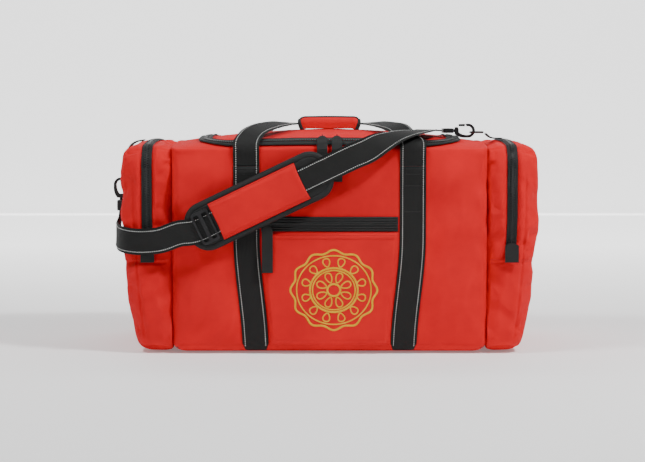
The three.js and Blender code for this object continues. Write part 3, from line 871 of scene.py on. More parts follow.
def drape(u, v, angle, seed, long=4.0, wide=21.0):
    """Long folds that run at an angle across a panel, between -1 and 1, with calm areas between."""
    along = u * cos(angle) + v * sin(angle)
    across = v * cos(angle) - u * sin(angle)
    calm = smoothstep(noise.noise(Vector((u * 6.0, v * 6.0, seed + 5.0))), -0.25, 0.3)
    wave = noise.noise(Vector((along * long, across * wide, seed)))
    return 1.9 * wave * calm


def fold_line(x, y, z, seed):
    """A few sharp ridges, from 0 in between them to 1."""
    ridge = 1 - abs(noise.noise(Vector((x * 4.0 + seed, y * 1.5, z * 4.0 - seed)))) * 5.0
    return max(ridge, 0.0) ** 1.6 - 0.25


def groove(distance, half_width):
    """1 on a seam, easing to 0 at half_width from it."""
    share = min(abs(distance) / half_width, 1.0)
    return (1 - share * share) ** 2


def wall_push(x, y, z):
    """How far the main wall stands out from its flat shape at a point."""
    sizes = bpy.context.scene.bag_sizes
    from_wrap = abs(abs(x) - wrap_x(z)) - sizes.web_width / 2
    from_seam = MAIN_HALF - abs(x)
    upright = smoothstep(z, 0.012, 0.08) * (1 - smoothstep(z, 0.33, 0.385))
    middle = abs(x) < wrap_x(z)
    full = 0.0 if middle and y < 0 else 1.0
    free = smoothstep(from_wrap, 0.0, 0.045) * smoothstep(from_seam, 0.0, 0.055)
    push = sizes.bulge * full * free * upright
    slant = 0.8 if x > 0 else -0.8
    soft = crumple(x, y * 0.3, z + slant * x * 0.5, 4.0, (1.6, 1.0, 1.0))
    sharp = fold_line(x * 1.3 + z * slant * 1.2, y, z * 1.2 - x * 0.5, 17.0 if y < 0 else 23.0)
    loose = smoothstep(from_wrap, 0.0, 0.02) * smoothstep(z, 0.0, 0.03)
    side = 1 - smoothstep(from_seam, 0.0, 0.11)
    low = 1 - smoothstep(z, 0.06, 0.2)
    amount = 0.40 + 0.55 * side + 0.40 * low
    lean = 0.65 if x > 0 else -0.65
    seed = 3.0 if y < 0 else 8.0
    long_folds = drape(x, z, lean, seed) + 0.7 * drape(x, z, -0.8 * lean, seed + 20.0, 5.0, 26.0)
    push += sizes.crease * loose * amount * (0.5 * soft + 0.25 * sharp + 1.35 * long_folds)
    pucker = noise.noise(Vector((x * 4.0, y * 5.0, z * 38.0)))
    pucker *= 1 - smoothstep(from_seam, 0.002, 0.030)
    push += 0.0016 * pucker * smoothstep(z, 0.02, 0.05)
    push -= 0.0040 * (1 - smoothstep(from_seam, 0.0, 0.014)) * smoothstep(z, 0.0, 0.05)
    push = min(max(push, -0.006), 0.0125)
    if middle and y < 0:
        push = min(0.35 * push, 0.0018)
        if POCKET_FOOT - 0.002 < z < POCKET_ZIP_Z + 0.017:
            push = min(push, 0.0)
    if from_wrap < 0.0:
        push = min(push, 0.0) * 0.2 - 0.0003
    return push


def body_rings(count):
    """Rings of the main compartment from the middle of its base, over the rim, to its inner floor."""
    wall = rounded(MAIN_HALF, DEPTH_HALF, CORNER, count)
    rim = opening(0.0, count)
    rings = []

    def flat_ring(scale, z):
        """A level ring, a share of the walls' outline."""
        rings.append([Vector((p.x * scale, p.y * scale, z)) for p in wall])

    for scale in (0.12, 0.4, 0.68, 0.86):
        flat_ring(scale, 0.0)

    def wall_ring(inset, z, outer=True):
        """A ring of the walls; the outer ones bulge and crease at the front and back."""
        ring = []
        for p, q in zip(wall, rounded(MAIN_HALF - inset, DEPTH_HALF - inset, CORNER, count)):
            push = 0.0
            if abs(p.y) > DEPTH_HALF - 0.006 and outer:
                push = wall_push(p.x, p.y, z)
            ring.append(Vector((q.x, q.y + (push if q.y > 0 else -push), z)))
        rings.append(ring)

    for i in range(9):
        a = i / 8 * pi / 2
        wall_ring(BASE_RADIUS * (1 - sin(a)), BASE_RADIUS * (1 - cos(a)))
    rise = WALL_TOP - 0.004 - BASE_RADIUS
    for i in range(1, 61):
        wall_ring(0.0, BASE_RADIUS + rise * i / 60)

    def across(t, drop, dented=False):
        """A ring over the top, a share t of the way from the walls to the rim."""
        ring = []
        for p, q in zip(wall, rim):
            at = p.lerp(q, t)
            z = top_height(at.x, at.y) - drop
            if dented:
                soft = crumple(at.x, at.y, 0.4, 9.0)
                sag = smoothstep(t, 0.0, 0.2) * (1 - smoothstep(t, 0.75, 0.95))
                z -= 0.0016 * (1 + soft) * sag
            ring.append(Vector((at.x, at.y, z)))
        rings.append(ring)

    across(0.0, 0.0015)
    for i in range(1, 15):
        across((i / 14) ** 1.4, 0.0, True)
    across(1.0, SHELL * 0.5)
    across(1.0, SHELL)
    across(0.6, SHELL + 0.002)
    for z in (WALL_TOP - 0.012, 0.30, 0.20, 0.10, 0.03):
        wall_ring(SHELL + 0.002, z, False)
    wall_ring(SHELL + 0.014, SHELL + 0.005, False)
    for scale in (0.6, 0.3):
        flat_ring(scale, SHELL + 0.005)
    return rings


def flap_rings(count):
    """Rings of the top flap, from the middle of its underside to the middle of its top."""
    middle = (OPEN_BACK + OPEN_FRONT) / 2
    edge = opening(-0.0012, count)
    under = [(0.2, SHELL), (0.5, SHELL), (0.8, SHELL), (0.97, SHELL), (1.0, SHELL - 0.001), (1.0, 0.001)]
    over = [(1 - 0.9 * (i / 26), 0.0) for i in range(27)]
    rings = []
    for scale, drop in under + over:
        ring = []
        for p in edge:
            x = p.x * scale
            y = middle + (p.y - middle) * scale
            z = top_height(x, y) - drop
            if drop == 0.0:
                inner = smoothstep(1 - scale, 0.0, 0.12)
                z += (0.0025 * crumple(x, y, 0.1, 2.0, (0.8, 1.5, 1.0)) - 0.0018) * inner
            ring.append(Vector((x, y, z)))
        rings.append(ring)
    return rings


# ---- end pockets ----
POCKET_STATIONS = [
    # distance along the bag, inset of the section, corner radius
    (MAIN_HALF + 0.0006, 0.004, POCKET_RADIUS),
    (0.322, 0.001, POCKET_RADIUS),
    (0.364, 0.0015, POCKET_RADIUS),
    (0.379, 0.0035, POCKET_RADIUS),
    (0.388, 0.009, POCKET_RADIUS),
    (0.393, 0.018, 0.038),
    (END_HALF, 0.028, 0.042),
]


def taper(x, z):
    """Draws a place on an end pocket in towards the bag's foot."""
    share = max((abs(x) - MAIN_HALF) / (END_HALF - MAIN_HALF), 0.0)
    lean = END_TAPER * share * (1 - min(z / 0.26, 1.0)) ** 1.3
    return x - lean if x > 0 else x + lean


def pocket_section(inset, radius, count):
    """Points round an end pocket, seen from the bag's end; its top falls to front and back."""
    middle = POCKET_TOP / 2
    points = []
    for p in rounded(DEPTH_HALF - inset, middle - inset, radius, count):
        slope = POCKET_FALL * (p.x / DEPTH_HALF) ** 2 if p.y > 0 else 0.0
        points.append(Vector((p.x, middle + p.y - slope)))
    return points


def pocket_rings(side, shrink, count):
    """Rings of an end pocket from its seam with the main compartment to its outer face."""
    rings = []
    for x, inset, radius in POCKET_STATIONS:
        section = pocket_section(inset + shrink, radius, count)
        far = x - shrink if x > 0.37 else x
        rings.append([Vector((taper(side * far, p.y), p.x, p.y)) for p in section])
    return rings


def zip_path(side, lift):
    """Rows along an end pocket's zip: up the front, over the top and down the back."""
    section = pocket_section(0.001, POCKET_RADIUS, 240)
    top = [p for p in section if p.y > 0.30]
    top.sort(key=lambda p: p.x)
    low = ZIP_FOOT + 0.004
    front = [Vector((-DEPTH_HALF + 0.001, low + (0.30 - low) * i / 24)) for i in range(25)]
    back = [Vector((-p.x, p.y)) for p in reversed(front)]
    path = front + top + back
    rows = []
    for i, p in enumerate(path):
        a = path[max(i - 1, 0)]
        b = path[min(i + 1, len(path) - 1)]
        out = Vector((0, -(b.y - a.y), b.x - a.x)).normalized()
        at = Vector((taper(side * END_ZIP_X, p.y), p.x, p.y)) + out * lift
        rows.append((*at, *out, 0.02))
    return rows


# ---- webbing routes ----
def wrap_rows(side):
    """A webbing wrap: down the front, under the base and up the back."""
    front = DEPTH_HALF + 0.0004
    flat = 0.0030
    turn = DEPTH_HALF - BASE_RADIUS
    bend = 0.026
    keys = []
    for i in range(28):
        z = WRAP_HEAD + (bend - WRAP_HEAD) * i / 27
        keys.append((-front, z, -1.0, 0.0))
    for i in range(1, 13):
        a = i / 12 * pi / 2
        keys.append((-turn - (front - turn) * cos(a), bend - (bend - flat) * sin(a), -cos(a), -sin(a)))
    for i in range(1, 13):
        keys.append((-turn + turn * i / 13, flat, 0.0, -1.0))
    keys += [(-y, z, -ny, nz) for y, z, ny, nz in reversed(keys)]
    width = bpy.context.scene.bag_sizes.web_width
    return [(side * wrap_x(z), y, z, 0.0, ny, nz, width) for y, z, ny, nz in keys]


def handle_rows(back):
    """A handle: up from one wrap, over the edge of the bag, through the grip and down again."""
    width = bpy.context.scene.bag_sizes.web_width
    rise = [
        # y, height, way it faces
        (-DEPTH_HALF - 0.0004, WRAP_HEAD + 0.0004, -1.0, 0.0),
        (-DEPTH_HALF - 0.0014, 0.371, -1.0, 0.0),
        (-DEPTH_HALF - 0.004, 0.386, -1.0, 0.15),
        (-DEPTH_HALF + 0.0005, 0.398, -0.8, 0.7),
    ]
    keys = [(-WRAP_HIGH_X, y, z, 0.0, ny, nz, width) for y, z, ny, nz in rise]
    over = [
        # x, y, lift above the bag, width of the webbing, lean towards the front in degrees
        (-0.154, -0.171, 0.0085, 0.050, 10),
        (-0.145, -0.148, 0.0125, 0.050, 18),
        (-0.130, -0.120, 0.0145, 0.049, 22),
        (-0.112, -0.090, 0.0145, 0.046, 24),
        (-0.095, -0.058, 0.0130, 0.040, 24),
        (-0.082, -0.032, 0.0110, 0.032, 16),
        (-0.068, -0.015, 0.0096, 0.024, 5),
        (-0.058, -0.013, 0.0096, 0.022, 0),
        (-0.030, -0.013, 0.0100, 0.022, 0),
    ]

    def crossed(x, y, lift, wide, lean):
        """One row of the handle where it crosses the top of the bag."""
        out = top_normal(x, y)
        at = Vector((x, y, top_height(x, y))) + out * lift
        face = out * cos(radians(lean)) + Vector((0, -sin(radians(lean)), 0))
        return (*at, *face, wide)

    keys += [crossed(*station) for station in over]
    for x, y, lift, wide, lean in reversed(over):
        if y < -0.125 and not back:
            # the shoulder strap crosses the front handle here and holds it down
            lift = min(lift, 0.0064)
            lean = 0
        keys.append(crossed(-x, y, lift, wide, lean))
    keys += [(WRAP_HIGH_X, y, z, 0.0, ny, nz, width) for y, z, ny, nz in reversed(rise)]
    rows = smooth_path(keys, 0.004)
    if back:
        rows = [(x, -y, z, nx, -ny, nz, w) for x, y, z, nx, ny, nz, w in rows]
    return rows


def strap_rows():
    """The shoulder strap, from the left hook, through the pad and over the top to the right hook."""
    width = bpy.context.scene.bag_sizes.web_width
    left = [
        # place, then the way it faces
        (-0.410, -0.060, 0.2642, -1.0, 0.0, 0.0),
        (-0.411, -0.060, 0.254, -1.0, 0.0, 0.0),
        (-0.412, -0.062, 0.243, -1.0, -0.05, 0.0),
        (-0.413, -0.075, 0.231, -1.0, -0.05, 0.0),
        (-0.413, -0.096, 0.224, -1.0, -0.1, 0.0),
        (-0.411, -0.124, 0.223, -1.0, -0.3, 0.0),
        (-0.405, -0.155, 0.218, -0.9, -0.55, 0.0),
        (-0.393, -0.181, 0.215, -0.75, -0.9, 0.0),
        (-0.374, -0.200, 0.213, -0.35, -1.0, 0.0),
        (-0.350, -0.211, 0.213, -0.1, -1.0, 0.0),
        (-0.318, -0.217, 0.217, 0.0, -1.0, 0.0),
        (-0.284, -0.2196, 0.229, 0.0, -1.0, 0.0),
    ]
    middle = []
    for x in (-0.250, -0.200, -0.133, -0.060, 0.0, 0.040):
        z = PAD_CENTRE.z + (x - PAD_CENTRE.x) * tan(PAD_TILT)
        middle.append((x, PAD_CENTRE.y - PAD_LIFT, z, 0.0, -1.0, 0.0))
    right = [
        (0.070, -0.215, 0.385, 0.0, -1.0, 0.15),
        (0.096, -0.210, 0.399, 0.0, -0.8, 0.6),
        (0.122, -0.195, 0.410, 0.0, -0.5, 1.0),
        (0.148, -0.172, 0.4165, 0.0, -0.25, 1.0),
        (0.170, -0.145, 0.419, 0.0, -0.1, 1.0),
        (0.182, -0.120, 0.4205, 0.0, 0.0, 1.0),
        (0.188, -0.092, 0.421, 0.0, 0.0, 1.0),
        (0.191, -0.074, 0.421, 0.0, 0.0, 1.0),
        (0.200, -0.062, 0.4205, 0.0, 0.0, 1.0),
        (0.211, -0.060, 0.420, 0.0, 0.0, 1.0),
        (0.2204, -0.060, 0.4197, 0.0, 0.0, 1.0),
    ]
    return smooth_path([(*k, width) for k in left + middle + right], 0.004)


def on_pad(along, across, lift):
    """A point on the shoulder pad: along it, across it and out from its back."""
    return Vector((
        PAD_CENTRE.x + along * cos(PAD_TILT) - across * sin(PAD_TILT),
        PAD_CENTRE.y - lift,
        PAD_CENTRE.z + along * sin(PAD_TILT) + across * cos(PAD_TILT)))


RING_TABS = {
    # x, z and the way it faces, from the pocket's top to the ring
    "left": [(-0.364, 0.4012, 0.0, 1.0), (-0.378, 0.3985, -0.35, 1.0), (-0.3885, 0.3915, -0.8, 0.7),
             (-0.3945, 0.380, -1.0, 0.25), (-0.3965, 0.363, -1.0, 0.05), (-0.3972, 0.347, -1.0, 0.0)],
    "right": [(0.338, 0.4046, 0.0, 1.0), (0.326, 0.4046, 0.0, 1.0), (0.315, 0.407, -0.15, 1.0),
              (0.306, 0.4140, -0.3, 1.0)],
}

METAL_PARTS = ("d_ring", "snap_hook", "hook_gate", "swivel", "strap_adj")

PULLS = [
    # part of the frame, body it rides
    ("pocket_zip_pull", "pocket_pull"),
    ("flap_zip_left_pull", "flap_pull_left"),
    ("flap_zip_right_pull", "flap_pull_right"),
    ("end_zip_left_pull", "end_pull_left"),
    ("end_zip_right_pull", "end_pull_right"),
]


# ---- operators: one for each group of pieces ----
class BAG_OT_body(bpy.types.Operator):
    """Main compartment with its lining, and the stiffener board in its base"""

    bl_idname = "gear_bag.body"
    bl_label = "Main compartment"

    def execute(self, context):
        body = lofted("main_fabric", body_rings(420), "fabric")
        body.data.materials.append(FINISHES["lining"])
        wall = SHELL + 0.0012
        for face in body.data.polygons:
            x, y, z = face.center
            deep = abs(y) < DEPTH_HALF - wall and abs(x) < MAIN_HALF - wall
            under = SHELL < z < top_height(x, y) - SHELL * 0.9
            if deep and under:
                face.material_index = 1
        settle(body, "bag", "red_fabric", "main_body")
        refinish(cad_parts["base_board"], "board")
        return {"FINISHED"}


class BAG_OT_flap(bpy.types.Operator):
    """Top flap"""

    bl_idname = "gear_bag.flap"
    bl_label = "Top flap"

    def execute(self, context):
        flap = lofted("flap_fabric", flap_rings(300), "fabric")
        flap.data.materials.append(FINISHES["lining"])
        for face in flap.data.polygons:
            face.material_index = 1 if face.normal.z < -0.5 else 0
        settle(flap, "flap", "red_fabric", "top_flap")
        line = []
        for p in opening(-0.019, 300):
            line.append((Vector((p.x, p.y, top_height(p.x, p.y) - 0.0006)), top_normal(p.x, p.y)))
        line.append(line[0])
        settle(stitch_row("flap_stitches", [line], "red_thread", 0.0038), "flap", "red_fabric")
        return {"FINISHED"}


class BAG_OT_end_pockets(bpy.types.Operator):
    """End pockets, swollen by their contents, with their seams"""

    bl_idname = "gear_bag.end_pockets"
    bl_label = "End pockets"

    def execute(self, context):
        for word, side in (("left", -1), ("right", 1)):
            pocket = lofted(f"{word}_pocket_fabric", pocket_rings(side, DRAWN_IN, 200), "fabric")
            inflate(pocket, 0.005, context.scene.bag_sizes.puff, 4.0)
            reshape(pocket, lambda x, y, z, side=side: self.sew(x, y, z, side))
            settle(pocket, "bag", "red_fabric", f"end_pocket_{word}")
            lines = []
            for face in (-1, 1):
                out = Vector((0, face, 0))
                line = []
                for i in range(61):
                    x = side * (0.306 + 0.070 * i / 60)
                    line.append((Vector(self.sew(x, face * DEPTH_HALF, SEAM_Z + 0.0055, side)), out))
                lines.append(line)
            stitches = stitch_row(f"{word}_pocket_stitches", lines, "red_thread", 0.0036)
            settle(stitches, "bag", "red_fabric")
        return {"FINISHED"}

    @staticmethod
    def sew(x, y, z, side):
        """Moves a point of an end pocket into its folds and seams, and off its neighbours."""
        sizes = bpy.context.scene.bag_sizes
        out = abs(x)
        deep = abs(y)
        near_zip = 1 - smoothstep(abs(out - taper(END_ZIP_X, z)), 0.010, 0.022)
        near_zip *= smoothstep(z, ZIP_FOOT - 0.012, ZIP_FOOT + 0.004)
        calm = (1 - near_zip) * smoothstep(z, 0.004, 0.05)
        front = smoothstep(deep, DEPTH_HALF - 0.03, DEPTH_HALF - 0.008)
        low = 1 - smoothstep(z, 0.15, 0.2)

        # folds
        slant = 1.3 * (out - 0.3) * (1 if z > SEAM_Z else -1)
        soft = crumple(x * 1.5, y * 0.6, z + slant, 6.0 + side * 2.0)
        sharp = fold_line(x * 2.4 + z * 1.1, y, z * 1.6, 31.0 + side)
        puckers = noise.noise(Vector((x * 60, side * 5, z * 26)))
        puckers *= 1 - smoothstep(abs(z - SEAM_Z), 0.0, 0.04)
        front_folds = drape(out, z, 0.9 if z > SEAM_Z else -0.7, 40.0 + side + (y > 0), 6.0, 30.0)
        end_folds = drape(y, z, 0.5, 60.0 + side, 4.0, 20.0)
        long_folds = front_folds * front + end_folds * (1 - front)
        folds = 0.5 * soft + 0.4 * sharp + 1.25 * long_folds + 0.3 * puckers

        # seams: one level across the front, one up along the edge of the end face
        seam = groove(z - SEAM_Z, SEAM_REACH) * front * smoothstep(out, 0.306, 0.312)
        upright = groove(out - taper(EDGE_SEAM_X, z), SEAM_REACH) * smoothstep(z, 0.02, 0.04)
        upright *= smoothstep(deep, DEPTH_HALF - 0.05, DEPTH_HALF - 0.02) * (1 - smoothstep(z, 0.3, 0.36))

        rise = 0.75 * sizes.crease * folds * calm
        rise += 0.0035 * calm * low
        rise -= 0.0032 * seam + 0.0030 * upright
        y += rise * front * (1 if y > 0 else -1)
        face = smoothstep(out, 0.368, 0.384)
        # the strap, its ring and its hook lie against the left pocket's end, so it folds less there
        held = smoothstep(z, 0.20, 0.24) * (1 - smoothstep(deep, 0.12, 0.16)) if side < 0 else 0.0
        swell = (rise - 0.35 * sizes.crease * puckers) * (0.85 - 0.6 * held)
        x += side * face * swell * (1 - 0.6 * front)
        z += 0.5 * rise * smoothstep(z, 0.37, 0.395) * (1 - near_zip) * (1 - face)

        # room: under the zip nothing stands proud, and the top corners stay round
        crest = POCKET_TOP - POCKET_FALL * min(deep / DEPTH_HALF, 1.0) ** 2 - 0.0006
        spare = 0.008 * (1 - near_zip)
        limit = DEPTH_HALF - DRAWN_IN + spare
        y = min(max(y, -limit), limit)
        z = min(max(z, DRAWN_IN), crest - DRAWN_IN + 0.0024 * (1 - near_zip))
        hub_y = DEPTH_HALF - 0.035
        hub_z = crest - 0.0346
        past_y = abs(y) - hub_y
        past_z = z - hub_z
        reach = hypot(max(past_y, 0.0), max(past_z, 0.0))
        bend = 0.0336 + spare
        if past_y > 0 and past_z > 0 and reach > bend:
            y = (1 if y > 0 else -1) * (hub_y + past_y * bend / reach)
            z = hub_z + past_z * bend / reach
        room = 0.009 if side > 0 else 0.0015 + 0.006 * (1 - held)
        x = side * min(max(abs(x), MAIN_HALF + 0.0006), END_HALF + room)
        return x, y, z


class BAG_OT_front_pocket(bpy.types.Operator):
    """Front pocket with its embroidered rosette"""

    bl_idname = "gear_bag.front_pocket"
    bl_label = "Front pocket"

    @staticmethod
    def face(x, z):
        """How far the pocket's face stands in front of the bag."""
        edge = wrap_x(z) - FRONT_GAP - abs(x)
        inner = smoothstep(edge, 0.0, 0.010)
        inner *= smoothstep(z, POCKET_FOOT, POCKET_FOOT + 0.012)
        inner *= smoothstep(-z, -POCKET_HEAD, -POCKET_HEAD + 0.008)
        folds = crumple(x * 0.7, 0.0, z + 0.25 * x, 21.0, (1.0, 1.0, 1.7))
        folds = 0.5 * folds + 0.8 * drape(x, z, 0.25, 77.0, 4.0, 17.0)
        near_pull = smoothstep(x, -0.105, -0.075) * smoothstep(-z, -0.215, -0.19)
        return 0.0004 + inner * (0.0080 + 0.0030 * min(folds, 0.6) * near_pull)

    def execute(self, context):
        across = 150
        up = 120
        points = []
        for back in (False, True):
            for j in range(up + 1):
                z = POCKET_FOOT + (POCKET_HEAD - POCKET_FOOT) * j / up
                half = wrap_x(z) - FRONT_GAP
                for i in range(across + 1):
                    x = half * (2 * i / across - 1)
                    stand = 0.0003 if back else self.face(x, z)
                    points.append((x, -DEPTH_HALF - stand, z))
        pocket = thin_panel("pocket_fabric", points, across, up, "fabric")
        settle(pocket, "bag", "red_fabric", "front_pocket")

        def on_face(x, z):
            """A point of the pocket's face, with the way it faces."""
            return Vector((x, -DEPTH_HALF - self.face(x, z), z)), FORWARD

        lines = []
        for z in (POCKET_HEAD - 0.006, POCKET_HEAD - 0.013):
            half = wrap_x(z) - 0.036
            lines.append([on_face(half * (i / 40 - 1), z) for i in range(81)])
        settle(stitch_row("pocket_stitches", lines, "red_thread", 0.0036), "bag", "red_fabric")

        def curve(radius, wave=0.0):
            """A closed line round the badge's middle, with twelve waves."""
            line = []
            for k in range(201):
                a = 2 * pi * k / 200
                r = radius + wave * cos(12 * a)
                line.append(on_face(BADGE_X + 1.08 * r * cos(a), BADGE_Z + r * sin(a)))
            return line

        def petal(angle, inner, outer, width):
            """A closed drop that points at the badge's middle."""
            line = []
            for k in range(49):
                t = k / 48 * 2 * pi
                r = (inner + outer) / 2 + (outer - inner) / 2 * cos(t)
                s = width * sin(t) * (1 + 0.35 * cos(t))
                x = BADGE_X + r * cos(angle) - s * sin(angle)
                z = BADGE_Z + r * sin(angle) + s * cos(angle)
                line.append(on_face(x, z))
            return line

        bold = [curve(0.0735, 0.0030), curve(0.0420), curve(0.0115)]
        fine = [curve(0.0655), curve(0.0375)]
        fine += [petal(pi / 6 * (k + 0.5), 0.0455, 0.0620, 0.0062) for k in range(12)]
        fine += [petal(pi / 4 * k + pi / 8, 0.0150, 0.0345, 0.0058) for k in range(8)]
        parts = []
        for name, lines, wide, high in (("bold", bold, 0.0046, 0.0018), ("fine", fine, 0.0031, 0.0014)):
            parts.append(row(name, lines, "stitch", "badge", Pitch=0.0011, Length=0.0015, Width=wide,
                             Height=high, Lift=0.0001))
        settle(joined("rosette_thread", parts), "bag", "red_fabric")
        return {"FINISHED"}


class BAG_OT_webbing(bpy.types.Operator):
    """Webbing wraps and carrying handles, with their reflective stitching"""

    bl_idname = "gear_bag.webbing"
    bl_label = "Wraps and handles"

    def execute(self, context):
        lines = []
        bars = []
        for word, side in (("left", -1), ("right", 1)):
            rows = wrap_rows(side)
            settle(ribbon(f"{word}_wrap_webbing", rows), "bag", "black_webbing", f"webbing_wrap_{word}")
            for face in (-1, 1):
                lines += edge_lines([r for r in rows if r[1] * face > 0 and r[2] > 0.012])
                for z in (0.350, 0.340, 0.318, 0.269):
                    x = side * wrap_x(z)
                    y = face * (DEPTH_HALF + 0.0004 + WEB_THICK)
                    bars.append([(Vector((x + 0.019 * k, y, z)), Vector((0, face, 0))) for k in (-1, 0, 1)])
        settle(stitch_row("wrap_stitches", lines), "bag", "black_webbing")
        settle(stitch_row("wrap_bar_tacks", bars, "dark_thread", 0.003), "bag", "black_webbing")
        for word in ("front", "back"):
            body = f"{word}_handle"
            rows = handle_rows(word == "back")
            settle(ribbon(f"{body}_webbing", rows), body, "black_webbing", f"handle_{word}")
            lines = []
            for side in (-1, 1):
                lines += edge_lines([r for r in rows if r[0] * side > 0 and r[6] > 0.024])
            settle(stitch_row(f"{body}_stitches", lines), body, "black_webbing")
        return {"FINISHED"}


class BAG_OT_grip(bpy.types.Operator):
    """Padded wrap that holds both handles together, with its bound edges"""

    bl_idname = "gear_bag.grip"
    bl_label = "Handle grip"

    def execute(self, context):
        thick = 0.0042
        half = (GRIP_HIGH[1] - GRIP_LOW[1]) / 2
        foot = GRIP_LOW[2]
        head = GRIP_HIGH[2]
        reach = [
            # y, z along the middle of the padded wrap, from the front edge to the top
            (-half + 0.0022, foot - 0.0022),
            (-half + 0.0022, foot + 0.005),
            (-half + 0.003, foot + 0.012),
            (-half + 0.009, head - 0.0035),
            (-half + 0.018, head - 0.0022),
            (0.0, head - 0.0021),
        ]
        keys = [(0.0, y, z) for y, z in reach] + [(0.0, -y, z) for y, z in reversed(reach[:-1])]
        path = smooth_path(keys, 0.0016)
        count = len(path)
        columns = 60
        points = []
        for layer in (1, -1):
            for j, p in enumerate(path):
                a = path[max(j - 1, 0)]
                b = path[min(j + 1, count - 1)]
                out = Vector((0, -(b[2] - a[2]), b[1] - a[1])).normalized()
                from_edge = min(j, count - 1 - j) / count
                near_edge = max(0.16 - from_edge, 0) / 0.16
                for i in range(columns + 1):
                    t = 2 * i / columns - 1
                    tip = max(abs(t) - 0.82, 0) / 0.18
                    narrow = 1 - 0.14 * (near_edge * 0.9) ** 2 * (1 if abs(t) > 0.5 else 0)
                    swell = 0.0006 * (0.5 + 0.5 * cos(t * pi * 0.98)) - 0.0008 * tip ** 2
                    droop = Vector((0, 0, -0.0035 * tip ** 2))
                    half_thick = thick / 2 * (1 - 0.5 * tip ** 3)
                    x = (GRIP_HIGH[0] - 0.0015) * t * narrow
                    points.append(Vector((x, p[1], p[2])) + out * (layer * half_thick + swell) + droop)
        grip = thin_panel("grip_fabric", points, columns, count - 1, "fabric")
        settle(grip, "back_handle", "red_fabric", "grip_wrap")

        width = columns + 1
        sheet = width * count

        def bound(name, order, wide, high):
            """Binding along some of the wrap's points."""
            pairs = [(points[j * width + i], points[sheet + j * width + i]) for j, i in order]
            middles = [(top + under) / 2 for top, under in pairs]
            outs = [(top - under).normalized() for top, under in pairs]
            return tube(name, middles, outs, wide, high, "binding", looped=False)

        ends = [[(j, i) for j in range(count)] for i in (0, columns)]
        turn = min(range(count), key=lambda j: abs(path[j][1] + half - 0.013))
        ridges = [[(j, i) for i in range(1, columns)] for j in (turn, count - 1 - turn)]
        parts = [bound("end_binding", end, 0.0042, 0.0034) for end in ends]
        parts += [bound("ridge_binding", ridge, 0.0050, 0.0040) for ridge in ridges]
        settle(joined("grip_binding", parts), "back_handle", "black_webbing")
        return {"FINISHED"}


class BAG_OT_shoulder_strap(bpy.types.Operator):
    """Shoulder strap with its pad, cover and bound edge"""

    bl_idname = "gear_bag.shoulder_strap"
    bl_label = "Shoulder strap"

    def execute(self, context):
        rows = strap_rows()
        settle(ribbon("strap_webbing", rows), "bag", "black_webbing", "shoulder_strap")
        settle(stitch_row("strap_stitches", edge_lines(rows)), "bag", "black_webbing")
        half_long = 0.145
        half_wide = 0.044
        outline = rounded(half_long - 0.004, half_wide - 0.004, 0.032, 220)
        skin = [
            # share of the outline, lift from the pad's back
            (0.2, 0.0012), (0.6, 0.0012), (0.9, 0.0012), (0.985, 0.0022), (1.0, 0.006),
            (0.985, 0.0098), (0.9, 0.0108), (0.6, 0.0108), (0.2, 0.0108),
        ]
        rings = [[on_pad(p.x * scale, p.y * scale, lift) for p in outline] for scale, lift in skin]
        pad = lofted("pad_fabric", rings, "mesh")
        inflate(pad, 0.004, 0.003, 3.0)
        front = PAD_CENTRE.y - 0.0118
        back = PAD_CENTRE.y - 0.0004
        reshape(pad, lambda x, y, z: (x, min(max(y, front), back), z))
        settle(pad, "bag", "black_webbing", "shoulder_pad")
        edge = rounded(half_long - 0.0035, half_wide - 0.0035, 0.032, 260)
        rim = [on_pad(p.x, p.y, 0.006) for p in edge]
        binding = tube("pad_binding", rim, [FORWARD] * len(rim), 0.0068, 0.0062, "binding", sides=12)
        settle(binding, "bag", "black_webbing")
        self.cover()
        return {"FINISHED"}

    @staticmethod
    def cover():
        """The panel that holds the webbing on the pad."""
        along = 90
        across = 40
        half_long = 0.090
        half_wide = 0.037
        points = []
        for back in (False, True):
            for j in range(across + 1):
                v = 2 * j / across - 1
                for i in range(along + 1):
                    u = 2 * i / along - 1
                    edge = smoothstep(1 - abs(v), 0.0, 0.26)
                    tip = smoothstep(1 - abs(u), 0.0, 0.03)
                    folds = 0.0004 * crumple(u * 0.5, v * 0.2, 0.3, 13.0)
                    face = 0.0138 + 0.0050 * edge * (0.82 + 0.18 * tip) + folds * edge
                    lift = face - 0.0014 if back else face
                    pull = 1 - 0.02 * (1 - v * v) * (abs(u) > 0.9)
                    points.append(on_pad(u * half_long * pull, v * half_wide, lift))
        panel = thin_panel("pad_cover_fabric", points, along, across, "fabric")
        settle(panel, "bag", "red_fabric", "pad_cover")
        lines = []
        for v in (-0.93, 0.93):
            lines.append([(on_pad((i / 40 - 1) * 0.088, v * half_wide, 0.0148), FORWARD) for i in range(81)])
        settle(stitch_row("pad_cover_stitches", lines, "red_thread", 0.0034), "bag", "red_fabric")


